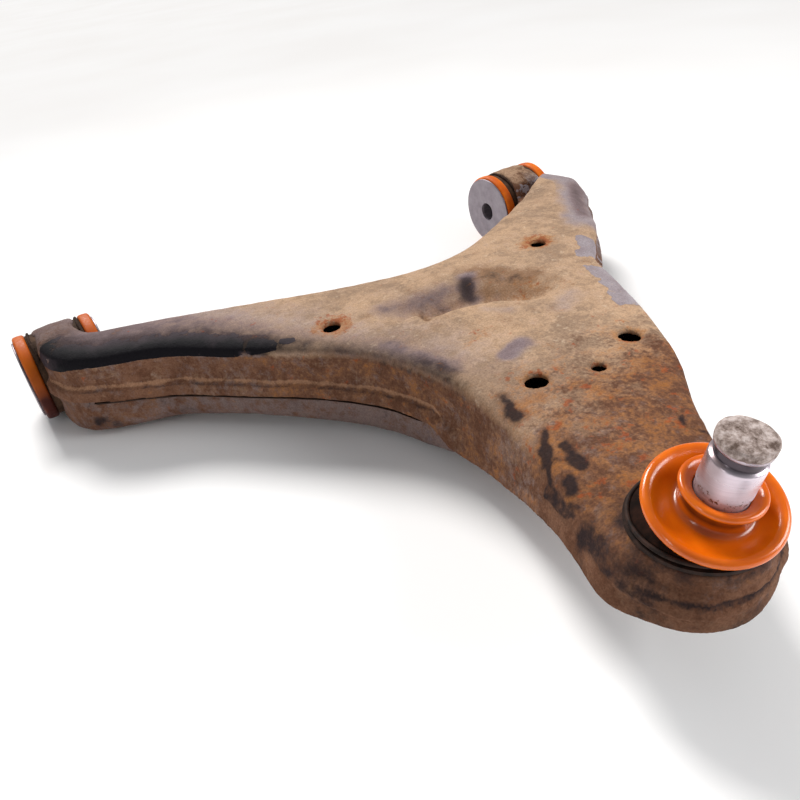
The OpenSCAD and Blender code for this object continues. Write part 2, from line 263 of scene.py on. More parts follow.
def addNode(tree, kind, settings=None, links=None):
    node = tree.nodes.new(kind)
    for key, value in (settings or {}).items():
        if key == "ramp":
            while len(node.color_ramp.elements) < len(value):
                node.color_ramp.elements.new(0.5)
            for element, (place, colour) in zip(node.color_ramp.elements, value):
                element.position = place
                element.color = colour if len(colour) == 4 else (*colour, 1)
        elif isinstance(key, str) and key[0].islower():
            setattr(node, key, value)
        else:
            node.inputs[key].default_value = value
    for socket, source in (links or {}).items():
        tree.links.new(source, node.inputs[socket])
    return node


def newMaterial(name):
    material = bpy.data.materials.new(name)
    material.use_nodes = True
    tree = material.node_tree
    tree.nodes.clear()
    shader = addNode(tree, "ShaderNodeBsdfPrincipled")
    addNode(tree, "ShaderNodeOutputMaterial", {}, {"Surface": shader.outputs[0]})
    place = addNode(tree, "ShaderNodeTexCoord").outputs["Object"]
    return material, tree, shader, place


shellFinish = {
    "beige": "#967d68", "warm": "#ba9a7d", "pale": "#c9b49e", "umber": "#7e5c42", "cool": "#7f6e6a",
    "rust": "#735240", "rustDark": "#5f4030", "rustRed": "#8f4526", "orange": "#a1672f", "wear": "#9c765c",
    "stainAndShade": "#292224", "paintRamp": ("#a39a9e", "#7d6d70", "#40363b", "#141216"),
    "patchMm": 40, "blotchMm": 12, "mottleMm": 5.5, "spotMm": 6.5, "speckMm": 2.2, "gritMm": 0.8,
}


def weatheredSheet(name, finish):
    # Pressed mild steel, once dipped in thin grey paint and now mostly rusted: a dull, dusty brown
    # with orange bloom, near-black stained patches, near-black painted shade in creases, hollows and under the
    # boot, a painted highlight along the walls' ridge and flakes of smoother paint that stand a little proud.
    # Rust grit is a tenth of a millimetre across; gritMm is drawn coarser so that the sheet looks sandy.
    material, tree, shader, place = newMaterial(name)
    marks = {k: addNode(tree, "ShaderNodeAttribute", {"attribute_name": k}).outputs["Fac"]
             for k in ("dust", "cool", "orange", "dark", "paint", "shade", "wear")}
    noise = {}
    for key, size, detail, rough, seed in (("patch", "patchMm", 3, 0.5, 0.0),
                                           ("blotch", "blotchMm", 4, 0.6, 0.11),
                                           ("mottle", "mottleMm", 3, 0.62, 0.23),
                                           ("spot", "spotMm", 3, 0.62, 0.31),
                                           ("speck", "speckMm", 2, 0.62, 0.37),
                                           ("grit", "gritMm", 1, 0.6, 0.51),
                                           ("flake", "blotchMm", 5, 0.66, 0.77),
                                           ("crust", "mottleMm", 4, 0.7, 0.93)):
        shifted = addNode(tree, "ShaderNodeVectorMath", {"operation": "ADD", 1: (seed, seed * 0.7, -seed)},
                          {0: place}).outputs[0]
        noise[key] = addNode(tree, "ShaderNodeTexNoise",
                             {"Scale": perMm(finish[size]), "Detail": detail, "Roughness": rough},
                             {"Vector": shifted}).outputs["Fac"]

    def spread(parts, low, high, most=1.0):
        # weights the parts, each noise taken about its middle, and cuts the sum softly between low and high
        total, middle = None, 0.0
        for key, share in parts:
            socket = marks.get(key) or noise[key]
            middle += 0.0 if key in marks else 0.5 * share
            links = {0: socket} if total is None else {0: socket, 2: total}
            total = addNode(tree, "ShaderNodeMath", {"operation": "MULTIPLY_ADD", 1: share, 2: 0.0},
                            links).outputs[0]
        return addNode(tree, "ShaderNodeMapRange",
                       {"interpolation_type": "SMOOTHSTEP", 1: low + middle, 2: high + middle, 4: most},
                       {0: total}).outputs[0]

    def over(factor, under, colour):
        links, settings = {0: factor}, {"data_type": "RGBA"}
        for socket, value in ((6, under), (7, colour)):
            if isinstance(value, str):
                settings[socket] = toLinear(finish[value])
            else:
                links[socket] = value
        return addNode(tree, "ShaderNodeMix", settings, links).outputs[2]

    tone = addNode(tree, "ShaderNodeMath", {"operation": "MULTIPLY_ADD", 1: 0.5},
                   {0: noise["blotch"], 2: marks["shade"]}).outputs[0]
    tone = addNode(tree, "ShaderNodeMath", {"operation": "SUBTRACT", 1: 0.25}, {0: tone}).outputs[0]
    ramp = [(k / 3, toLinear(finish["paintRamp"][k])) for k in range(4)]
    paint = addNode(tree, "ShaderNodeValToRGB", {"ramp": ramp}, {0: tone}).outputs[0]
    # dust over rust: beige to warm sand, umber where it is rubbed and where the dark mark lies, which is partly
    # painted shade, pale specks
    dusty = over(spread([("patch", 0.8), ("blotch", 0.7), ("mottle", 0.5), ("speck", 0.4)], -0.2, 0.16),
                 "beige", "warm")
    dusty = over(spread([("flake", 1.0), ("speck", 0.7), ("dark", 1.1)], 0.03, 0.42, 0.72), dusty, "umber")
    dusty = over(spread([("crust", 0.8), ("speck", 0.6)], 0.05, 0.3, 0.6), dusty, "pale")
    dusty = over(spread([("cool", 1.0), ("blotch", 1.0), ("mottle", 0.5)], 0.05, 0.95, 0.95), dusty, paint)
    # bare rust: brown, darker by the blotch, red-orange in spots
    rust = over(spread([("blotch", 1.0), ("speck", 0.5)], -0.16, 0.12), "rustDark", "rust")
    rust = over(spread([("crust", 1.0), ("patch", 0.4), ("cool", 0.36)], 0.08, 0.46, 0.85), rust, "cool")
    dustMask = spread([("dust", 1.0), ("patch", 0.5), ("flake", 1.0), ("speck", 0.5)], 0.2, 0.8)
    colour = over(dustMask, rust, dusty)
    colour = over(spread([("orange", 0.5), ("blotch", 1.1), ("speck", 0.7)], 0.2, 0.6, 0.6), colour, "orange")
    colour = over(spread([("orange", 0.24), ("spot", 1.0), ("speck", 0.4)], 0.22, 0.36, 0.65),
                  colour, "rustRed")
    # near-black over the dark mark: real stained patches and painted shade
    colour = over(spread([("dark", 1.0), ("flake", 1.3), ("crust", 0.7), ("speck", 0.4)], 0.34, 0.9, 0.92),
                  colour, "stainAndShade")
    # paint that is left, pale mauve to near-black by the shade mark, which is partly the paint's own tone and
    # partly painted shade on the fillets, and dusty where it lies flat
    paintMask = spread([("paint", 1.0), ("flake", 1.6), ("speck", 0.3)], 0.47, 0.53)
    paint = over(spread([("crust", 0.8), ("speck", 0.6), ("shade", -0.12)], 0.06, 0.2, 0.4), paint, colour)
    colour = over(paintMask, colour, paint)
    # a light line along the walls' ridge: a worn crest and a painted highlight on its upper slope
    colour = over(spread([("wear", 1.0), ("blotch", 1.3), ("speck", 0.5)], 0.25, 0.7, 0.8), colour, "wear")
    grain = addNode(tree, "ShaderNodeMapRange", {1: 0.3, 2: 0.7, 3: 0.84, 4: 1.16},
                    {0: noise["grit"]}).outputs[0]
    colour = addNode(tree, "ShaderNodeHueSaturation", {}, {"Color": colour, "Value": grain}).outputs[0]
    tree.links.new(colour, shader.inputs["Base Color"])
    roughness = addNode(tree, "ShaderNodeMapRange", {3: 0.88, 4: 0.68}, {0: paintMask}).outputs[0]
    tree.links.new(roughness, shader.inputs["Roughness"])
    height = None
    for socket, share in ((noise["speck"], 0.5), (noise["grit"], 0.35), (noise["crust"], 0.8),
                          (noise["blotch"], 0.9), (paintMask, 0.7)):
        links = {0: socket} if height is None else {0: socket, 2: height}
        height = addNode(tree, "ShaderNodeMath", {"operation": "MULTIPLY_ADD", 1: share, 2: 0.0},
                         links).outputs[0]
    relief = addNode(tree, "ShaderNodeBump", {"Strength": 1.0, "Distance": 0.32 * mm}, {"Height": height})
    tree.links.new(relief.outputs[0], shader.inputs["Normal"])
    shader.inputs["Specular IOR Level"].default_value = 0.07
    return material


rustFinish = {"pitMm": 1.1, "roughness": 0.85, "gloss": 0.12}


def rustedSteel(name, light, dark, lumpMm):
    # Plain rolled or welded steel gone to brown rust: matt, blotched and finely pitted.
    material, tree, shader, place = newMaterial(name)
    blotch = addNode(tree, "ShaderNodeTexNoise", {"Scale": perMm(lumpMm), "Detail": 7, "Roughness": 0.65},
                     {"Vector": place}).outputs["Fac"]
    pits = addNode(tree, "ShaderNodeTexNoise",
                   {"Scale": perMm(rustFinish["pitMm"]), "Detail": 4, "Roughness": 0.6},
                   {"Vector": place}).outputs["Fac"]
    tone = addNode(tree, "ShaderNodeValToRGB", {"ramp": [(0.32, toLinear(dark)), (0.66, toLinear(light))]},
                   {0: blotch})
    tree.links.new(tone.outputs[0], shader.inputs["Base Color"])
    shader.inputs["Roughness"].default_value = rustFinish["roughness"]
    shader.inputs["Specular IOR Level"].default_value = rustFinish["gloss"]
    both = addNode(tree, "ShaderNodeMath", {"operation": "MULTIPLY_ADD", 1: 0.6},
                   {0: pits, 2: blotch}).outputs[0]
    relief = addNode(tree, "ShaderNodeBump", {"Strength": 0.9, "Distance": 0.4 * mm}, {"Height": both})
    tree.links.new(relief.outputs[0], shader.inputs["Normal"])
    return material


castFinish = {"grime": "#431307", "cloudMm": 14, "skinMm": 2.4, "filmMm": 1.3, "ior": 1.5, "glow": 0.12,
              "glowReach": (0.004, 0.0015, 0.0004)}


def castPolyurethane(name, bright, deep, roughness):
    # Cast polyurethane: a wet-looking orange, a slightly deeper tone in patches and a soft orange-peel skin.
    material, tree, shader, place = newMaterial(name)
    cloud = addNode(tree, "ShaderNodeTexNoise", {"Scale": perMm(castFinish["cloudMm"]), "Detail": 3},
                    {"Vector": place}).outputs["Fac"]
    skin = addNode(tree, "ShaderNodeTexNoise", {"Scale": perMm(castFinish["skinMm"]), "Detail": 2},
                   {"Vector": place}).outputs["Fac"]
    # a fine noise that only varies the roughness
    grime = addNode(tree, "ShaderNodeTexNoise",
                    {"Scale": perMm(castFinish["filmMm"]), "Detail": 4, "Roughness": 0.7},
                    {"Vector": place}).outputs["Fac"]
    tone = addNode(tree, "ShaderNodeValToRGB",
                   {"ramp": [(0.35, toLinear(deep)), (0.6, toLinear(bright))]}, {0: cloud})
    sheen = addNode(tree, "ShaderNodeMapRange",
                    {1: 0.3, 2: 0.7, 3: roughness * 0.8, 4: roughness * 1.5}, {0: grime})
    tree.links.new(sheen.outputs[0], shader.inputs["Roughness"])
    # a dark red-brown laid on by the mark read here: painted shade on the boot's saucer; on the bushes darker
    # all over the front ones and painted shade low down
    grimeAndShadeMark = addNode(tree, "ShaderNodeAttribute", {"attribute_name": "grime"}).outputs["Fac"]
    film = addNode(tree, "ShaderNodeMath", {"operation": "MULTIPLY_ADD", 1: 0.9, 2: -0.45},
                   {0: cloud}).outputs[0]
    film = addNode(tree, "ShaderNodeMath", {"operation": "ADD"}, {0: film, 1: grimeAndShadeMark}).outputs[0]
    film = addNode(tree, "ShaderNodeMath", {"operation": "MULTIPLY"}, {0: film, 1: grimeAndShadeMark}).outputs[0]
    coated = addNode(tree, "ShaderNodeMix", {"data_type": "RGBA", 7: toLinear(castFinish["grime"])},
                     {0: film, 6: tone.outputs[0]})
    tree.links.new(coated.outputs[2], shader.inputs["Base Color"])
    shader.inputs["IOR"].default_value = castFinish["ior"]
    shader.inputs["Subsurface Weight"].default_value = castFinish["glow"]
    shader.inputs["Subsurface Radius"].default_value = castFinish["glowReach"]
    shader.inputs["Subsurface Scale"].default_value = 0.5
    relief = addNode(tree, "ShaderNodeBump", {"Strength": 0.25, "Distance": 0.08 * mm}, {"Height": skin})
    tree.links.new(relief.outputs[0], shader.inputs["Normal"])
    return material


platedFinish = {"ringMm": 10.048, "blotchMm": 9, "metallic": 0.75}


def platedSteel(name, light, dark, roughness):
    # Zinc-plated steel gone dull: grey with a faint violet cast and turning marks round the bore.
    # Real marks are finer than a fifth of a millimetre; these rings are drawn about 3 mm apart,
    # a third of ringMm, so that they show.
    material, tree, shader, place = newMaterial(name)
    flatten = addNode(tree, "ShaderNodeMapping", {"Scale": (0, 1, 1)}, {"Vector": place}).outputs[0]
    rings = addNode(tree, "ShaderNodeTexWave",
                    {"wave_type": "RINGS", "rings_direction": "SPHERICAL",
                     "Scale": perMm(platedFinish["ringMm"]), "Distortion": 1.5, "Detail": 2},
                    {"Vector": flatten}).outputs["Fac"]
    blotch = addNode(tree, "ShaderNodeTexNoise",
                     {"Scale": perMm(platedFinish["blotchMm"]), "Detail": 6, "Roughness": 0.6},
                     {"Vector": place}).outputs["Fac"]
    tone = addNode(tree, "ShaderNodeValToRGB", {"ramp": [(0.3, toLinear(dark)), (0.7, toLinear(light))]},
                   {0: blotch})
    tree.links.new(tone.outputs[0], shader.inputs["Base Color"])
    shader.inputs["Metallic"].default_value = platedFinish["metallic"]
    dull = addNode(tree, "ShaderNodeMapRange", {1: 0.3, 2: 0.7, 3: roughness * 0.8, 4: roughness * 1.25},
                   {0: blotch})
    tree.links.new(dull.outputs[0], shader.inputs["Roughness"])
    both = addNode(tree, "ShaderNodeMath", {"operation": "MULTIPLY_ADD", 1: 0.25},
                   {0: rings, 2: blotch}).outputs[0]
    relief = addNode(tree, "ShaderNodeBump", {"Strength": 0.4, "Distance": 0.1 * mm}, {"Height": both})
    tree.links.new(relief.outputs[0], shader.inputs["Normal"])
    return material


studFinish = {"bare": ("#c9bcc6", "#dcd0d9"), "scab": ("#57443a", "#93827a", "#cbbdb8"), "groove": "#4d444a",
              "tarnish": "#6b4a3a", "pit": "#6a4a33", "lineMm": 1, "lineSquash": (0.06, 0.06, 2.2),
              "spotMm": 1.5, "crustMm": 3.2}


def groundStud(name, finish):
    # Ground alloy steel: bright with a cool violet cast, fine grinding lines round it, brown pits at its foot
    # and a rough, corroded grey-brown crown. Real grinding lines are a twentieth of a millimetre apart; these
    # are drawn half a millimetre apart so that they show.
    material, tree, shader, place = newMaterial(name)
    crown = addNode(tree, "ShaderNodeAttribute", {"attribute_name": "crown"}).outputs["Fac"]
    groove = addNode(tree, "ShaderNodeAttribute", {"attribute_name": "groove"}).outputs["Fac"]
    foot = addNode(tree, "ShaderNodeAttribute", {"attribute_name": "foot"}).outputs["Fac"]
    drawn = addNode(tree, "ShaderNodeMapping", {"Scale": finish["lineSquash"]}, {"Vector": place}).outputs[0]
    lines = addNode(tree, "ShaderNodeTexNoise", {"Scale": perMm(finish["lineMm"]), "Detail": 2},
                    {"Vector": drawn}).outputs["Fac"]
    spots = addNode(tree, "ShaderNodeTexNoise",
                    {"Scale": perMm(finish["spotMm"]), "Detail": 6, "Roughness": 0.7},
                    {"Vector": place}).outputs["Fac"]
    crust = addNode(tree, "ShaderNodeTexNoise",
                    {"Scale": perMm(finish["crustMm"]), "Detail": 8, "Roughness": 0.72},
                    {"Vector": place}).outputs["Fac"]
    bare = addNode(tree, "ShaderNodeValToRGB",
                   {"ramp": [(k, toLinear(tint)) for k, tint in zip((0.2, 0.8), finish["bare"])]},
                   {0: lines}).outputs[0]
    scabRamp = [(k, toLinear(tint)) for k, tint in zip((0.38, 0.49, 0.64), finish["scab"])]
    scab = addNode(tree, "ShaderNodeValToRGB", {"ramp": scabRamp}, {0: crust}).outputs[0]
    pitted = addNode(tree, "ShaderNodeMath", {"operation": "MULTIPLY_ADD", 1: 0.26},
                     {0: foot, 2: spots}).outputs[0]
    pitMask = addNode(tree, "ShaderNodeMapRange", {"interpolation_type": "SMOOTHSTEP", 1: 0.74, 2: 0.82},
                      {0: pitted}).outputs[0]
    crownSum = addNode(tree, "ShaderNodeMath", {"operation": "MULTIPLY_ADD", 1: 1.0},
                       {0: crown, 2: crust}).outputs[0]
    crownMask = addNode(tree, "ShaderNodeMapRange", {"interpolation_type": "SMOOTHSTEP", 1: 0.92, 2: 1.1},
                        {0: crownSum}).outputs[0]
    # the ring groove drawn dark: a painted dark reflection
    bare = addNode(tree, "ShaderNodeMix", {"data_type": "RGBA", 7: toLinear(finish["groove"])},
                   {0: groove, 6: bare}).outputs[2]
    # a painted brown reflection down one side of the shank
    tarnish = addNode(tree, "ShaderNodeAttribute", {"attribute_name": "tarnish"}).outputs["Fac"]
    bare = addNode(tree, "ShaderNodeMix", {"data_type": "RGBA", 7: toLinear(finish["tarnish"])},
                   {0: tarnish, 6: bare}).outputs[2]
    first = addNode(tree, "ShaderNodeMix", {"data_type": "RGBA", 7: toLinear(finish["pit"])},
                    {0: pitMask, 6: bare}).outputs[2]
    second = addNode(tree, "ShaderNodeMix", {"data_type": "RGBA"}, {0: crownMask, 6: first, 7: scab}).outputs[2]
    tree.links.new(second, shader.inputs["Base Color"])
    cover = addNode(tree, "ShaderNodeMath", {"operation": "MAXIMUM"}, {0: pitMask, 1: crownMask}).outputs[0]
    cover = addNode(tree, "ShaderNodeMath", {"operation": "MAXIMUM"}, {0: cover, 1: foot}).outputs[0]
    metal = addNode(tree, "ShaderNodeMapRange", {3: 0.7, 4: 0.25}, {0: cover}).outputs[0]
    tree.links.new(metal, shader.inputs["Metallic"])
    dull = addNode(tree, "ShaderNodeMapRange", {3: 0.27, 4: 0.75}, {0: cover}).outputs[0]
    tree.links.new(dull, shader.inputs["Roughness"])
    crusted = addNode(tree, "ShaderNodeMath", {"operation": "MULTIPLY"}, {0: crust, 1: cover}).outputs[0]
    height = addNode(tree, "ShaderNodeMath", {"operation": "MULTIPLY_ADD", 1: 0.05},
                     {0: lines, 2: crusted}).outputs[0]
    relief = addNode(tree, "ShaderNodeBump", {"Strength": 0.8, "Distance": 0.5 * mm}, {"Height": height})
    tree.links.new(relief.outputs[0], shader.inputs["Normal"])
    return material


def plainFinish(name, light, dark, sizeMm, roughness, metallic, gloss=0.5):
    # Springs, wire and moulded seats: one tone broken up by fine mottling.
    material, tree, shader, place = newMaterial(name)
    mottle = addNode(tree, "ShaderNodeTexNoise", {"Scale": perMm(sizeMm), "Detail": 5},
                     {"Vector": place}).outputs["Fac"]
    tone = addNode(tree, "ShaderNodeValToRGB", {"ramp": [(0.35, toLinear(dark)), (0.65, toLinear(light))]},
                   {0: mottle})
    tree.links.new(tone.outputs[0], shader.inputs["Base Color"])
    shader.inputs["Roughness"].default_value = roughness
    shader.inputs["Metallic"].default_value = metallic
    shader.inputs["Specular IOR Level"].default_value = gloss
    relief = addNode(tree, "ShaderNodeBump", {"Strength": 0.3, "Distance": 0.1 * mm}, {"Height": mottle})
    tree.links.new(relief.outputs[0], shader.inputs["Normal"])
    return material


upperSheet = weatheredSheet("pressedSheetRusted", shellFinish)
tubeSteel = rustedSteel("tubeSteelRusted", "#5d4636", "#33251d", 7)
weldSteel = rustedSteel("weldMetalRusted", "#47352a", "#2a1e18", 4)
housingSteel = rustedSteel("forgedHousingBlackened", "#44322a", "#211815", 6)
orangeBoot = castPolyurethane("polyurethaneBootCast", "#e26d0a", "#cf5c04", 0.17)
# the skirt under the saucer's rim: orange polyurethane drawn near-black as painted shade
shadeDarkBoot = plainFinish("polyurethaneBootShadeDark", "#2c1a13", "#150d0a", 4, 0.95, 0.0, 0.1)
orangeBush = castPolyurethane("polyurethaneBushCast", "#f0780f", "#cf5c07", 0.5)
orangeBush.node_tree.nodes["Principled BSDF"].inputs["Specular IOR Level"].default_value = 0.22
zincSteel = platedSteel("zincPlatedSteelDulled", "#a89fa6", "#7f757c", 0.45)
studSteel = groundStud("groundSteelStud", studFinish)
springSteel = plainFinish("springSteelBlackened", "#38251d", "#1b110d", 3, 0.7, 0.0, 0.2)
seatPlastic = plainFinish("acetalMoulded", "#e4e0d2", "#d3cdbb", 5, 0.4, 0.0)
print("materials made")


def copiedSkin(name, nodeName, voxel, rounds):
    # a close-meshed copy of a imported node, its corners eased
    draft = bpy.data.objects.new(name + "Draft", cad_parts[nodeName].data.copy())
    scene.collection.objects.link(draft)
    mesher = draft.modifiers.new("mesher", "REMESH")
    mesher.mode = "VOXEL"
    mesher.voxel_size = voxel * mm
    easing = draft.modifiers.new("easing", "SMOOTH")
    easing.factor = 0.5
    easing.iterations = rounds
    bpy.context.view_layer.update()
    mesh = bpy.data.meshes.new_from_object(draft.evaluated_get(bpy.context.evaluated_depsgraph_get()))
    bpy.data.objects.remove(draft)
    mesh.name = name
    piece = bpy.data.objects.new(name, mesh)
    scene.collection.objects.link(piece)
    mesh.materials.clear()
    places = np.empty(len(mesh.vertices) * 3)
    mesh.vertices.foreach_get("co", places)
    normals = np.empty(len(mesh.vertices) * 3)
    mesh.vertices.foreach_get("normal", normals)
    return piece, places.reshape(-1, 3) / mm, normals.reshape(-1, 3)


def setPlaces(piece, places):
    piece.data.vertices.foreach_set("co", (places * mm).astype(np.float32).ravel())
    piece.data.update()
    piece.data.shade_smooth()


def setMark(piece, name, values):
    layer = piece.data.attributes.new(name, "FLOAT", "POINT")
    layer.data.foreach_set("value", np.clip(values, 0, 1.2).astype(np.float32))


def nearLine(xy, a, b):
    a, b = np.array(a, float), np.array(b, float)
    t = np.clip(((xy - a) @ (b - a)) / ((b - a) @ (b - a)), 0, 1)
    return np.linalg.norm(xy - a - t[:, None] * (b - a), axis=1)


chordLoop = splineLoop(outline["wallPoints"], 2)
smoothLoop = splineLoop(outline["wallPoints"], 8)

upperForm = {
    "voxel": 1.2, "easing": 6, "crown": 1.3, "neckCrown": 2.4,
    # the hollow: where its deepest line runs, how deep it is and how far each slope reaches
    "valleyX": (140, 161.6, 171.5, 182, 194.5, 205, 218, 240),
    "valleyY": (-143, -144.3, -143.6, -145, -150, -160, -166, -170),
    "valleyDepth": 7.2, "farWidth": 13.0, "nearWidth": 7.5,
    "lobe": ((166, -160), (194, -180)), "lobeRise": 1.6, "lobeWidth": 13,
    "crescent": ((168, -134.5), (164, -138), (160.5, -143), (158.3, -148.5), (157.8, -153)),
    "crescentDepth": 1.3, "blister": (187, -291), "blisterRise": 1.2,
    # stretches of the wall, in wall points, and what happens on them
    "freeRanges": ((2.6, 34.3), (41.2, 52.6)), "neckRange": (10.9, 16.3), "neckFlare": 4.0,
    "tipRange": (15.4, 21.2), "tipStep": 2.8, "stepZ": (14.5, 16.5, 20.2, 22.0),
    "creaseZ": 19.6, "creaseDepth": 0.9, "facetRange": (30.9, 33.6), "facetDrop": 5.0,
    "ridgeWave": 1.5, "edgeWave": 0.55, "sway": 0.35, "holeSink": 0.35,
}


def wallFree(s):
    # where the wall stands clear of the straps and can be reshaped
    return np.max([overRange(s, *stretch, 0.5) for stretch in upperForm["freeRanges"]], axis=0)


def fromBlister(x, y):
    return np.hypot(x - upperForm["blister"][0], y - upperForm["blister"][1])


def shapeUpper(co, normals):
    f = upperForm
    xy = co[:, :2].copy()
    chord = fieldOf(xy, chordLoop, 2)[0]
    d, s, away = fieldOf(xy, smoothLoop, 8)
    near = 1 - smoothStep(np.abs(d), 7, 11)
    shift = (chord - d) * wallFree(s) * near
    z = co[:, 2]
    skirt = skirtAt(co[:, 1])
    # the neck's wall is one sweep from the top down to the skirt's edge
    neck = overRange(s, *f["neckRange"], 0.5)
    old = np.interp(z - skirt, [-1, 7, 10], [4, 3.5, 0.3])
    old = np.where(z - skirt > 10, np.interp(z, [0, 21], [0.3, 0.0]), old)
    drop = np.clip((21 - z) / np.maximum(21 - skirt, 1), 0, 1)
    new = f["neckFlare"] * drop ** 1.25
    shift += (new - old) * neck * near * (z < 24)
    # a step in the wall round the tip, shallower at the very end
    tip = overRange(s, *f["tipRange"], 0.7)
    step = f["tipStep"] * (1 - 0.65 * smoothStep(-away[:, 1], 0.80, 0.96))
    stepFoot, stepFull, stepEase, stepTop = f["stepZ"]
    shift += step * tip * near * smoothStep(z, stepFoot, stepFull) * (1 - smoothStep(z, stepEase, stepTop))
    place = co.copy()
    place[:, :2] += away * shift[:, None]
    # the top plate: crowned, with the hollow, the raised tongue in front of it and a soft facet at the rear
    top = smoothStep(z, 14, 24)
    inner = smoothStep(-chord, 3, 9)
    dz = -f["crown"] * smoothStep(chord, -24, -4)
    dz -= (f["neckCrown"] - f["crown"]) * neck * smoothStep(chord, -30, -3)
    ahead = co[:, 1] - np.interp(co[:, 0], f["valleyX"], f["valleyY"])
    across = np.where(ahead > 0, ahead / f["farWidth"], -ahead / f["nearWidth"])
    reach = smoothStep(co[:, 0], 136 + 18 * (ahead < 0), 168) * (1 - smoothStep(co[:, 0], 208, 236))
    dz -= f["valleyDepth"] * np.exp(-across ** 2) * reach
    dz += f["lobeRise"] * np.exp(-(nearLine(xy, *f["lobe"]) / f["lobeWidth"]) ** 2)
    rim = f["crescent"]
    fromRim = np.min([nearLine(xy, rim[k], rim[k + 1]) for k in range(len(rim) - 1)], axis=0)
    dz -= f["crescentDepth"] * bump(fromRim, 0, 1.8)
    dz += f["blisterRise"] * np.exp(-(fromBlister(*xy.T) / 4.0) ** 2)
    dz -= f["facetDrop"] * overRange(s, *f["facetRange"], 0.5) * smoothStep(chord, -19, 1) ** 1.5
    dz += f["sway"] * softNoise(np.column_stack([xy, 0 * z]), 34, 5) * inner
    for x, y, r in outline["holes"]:
        dz -= f["holeSink"] * np.exp(-((np.hypot(xy[:, 0] - x, xy[:, 1] - y) - r) / 2.2) ** 2)
    ball = np.hypot(xy[:, 0] - ballAt[0], xy[:, 1] - ballAt[1])
    dz *= smoothStep(ball, 24.5, 34)
    place[:, 2] += dz * top
    # wavy ridge and ragged lower edge
    along = np.column_stack([xy, 0 * z])
    ridge = bump(z - skirt, 8.5, 3.5) * (chord > -6) * (1 - neck)
    place[:, 2] += f["ridgeWave"] * roughNoise(along, 26, 11, 2) * ridge
    hem = (1 - smoothStep(z - skirt, 1.0, 5.0)) * (chord > -8) * (co[:, 1] < -24) * overRange(s, 1.5, 11.0, 0.5)
    place[:, 2] += (f["edgeWave"] * roughNoise(along, 11, 23, 3) + 0.3) * hem
    tip *= chord > -6
    rough = 0.16 * roughNoise(co, 7, 31, 2) + 0.07 * softNoise(co, 2.6, 41)
    rough -= f["creaseDepth"] * bump(z, f["creaseZ"] + 0.5 * roughNoise(along, 14, 25, 2), 1.0) * tip
    rough += 0.35 * bump(z, 16.6, 1.8) * tip
    # the sheet's lower edge is trimmed true where it isn't ragged
    trimmed = (chord > -8) * overRange(s, 10.0, 34.0, 0.3)
    place[:, 2] += np.clip(0.55 - (z - skirt), 0, 1) * trimmed
    lip = trimmed * (1 - smoothStep(z - skirt, 1.2, 2.6)) * (chord > 1.0) * (chord < 4.4)
    place[:, :2] += away * ((np.interp(chord, [1.0, 2.6, 4.2], [1.0, 3.4, 3.7]) - chord) * lip)[:, None]
    place += normals * rough[:, None]
    # the holes' walls stay round
    for x, y, r in outline["holes"]:
        fromHole = place[:, :2] - (x, y)
        ring = np.hypot(fromHole[:, 0], fromHole[:, 1])
        wall = (np.abs(ring - r) < 0.9) & (np.abs(normals[:, 2]) < 0.75)
        place[wall, :2] = np.array([x, y]) + fromHole[wall] / ring[wall, None] * (r + 0.02)
    place = np.maximum(place, np.array(cadBox[0]) / mm)  # no wave or step reaches past the solids
    return place, dict(d=chord, s=s, z=z, xy=xy, skirt=skirt, neck=neck, ball=ball)


def smears(xy, rows):
    # soft marks drawn out between two points: x, y, x, y, half width and strength of each
    total = np.zeros(len(xy))
    for x0, y0, x1, y1, r, strength in rows:
        total = np.maximum(total, strength * np.exp(-(nearLine(xy, (x0, y0), (x1, y1)) / r) ** 2))
    return total


def strapEdge(x, y):
    # painted shade on the straps' cut ends, in the gap beside the bushes
    away = np.minimum(np.abs(x - 0.25), np.abs(x - 338.25))
    return 0.95 * (y > -14) * smoothStep(away, 11.2, 12.4) * ((x < 14) | (x > 325))


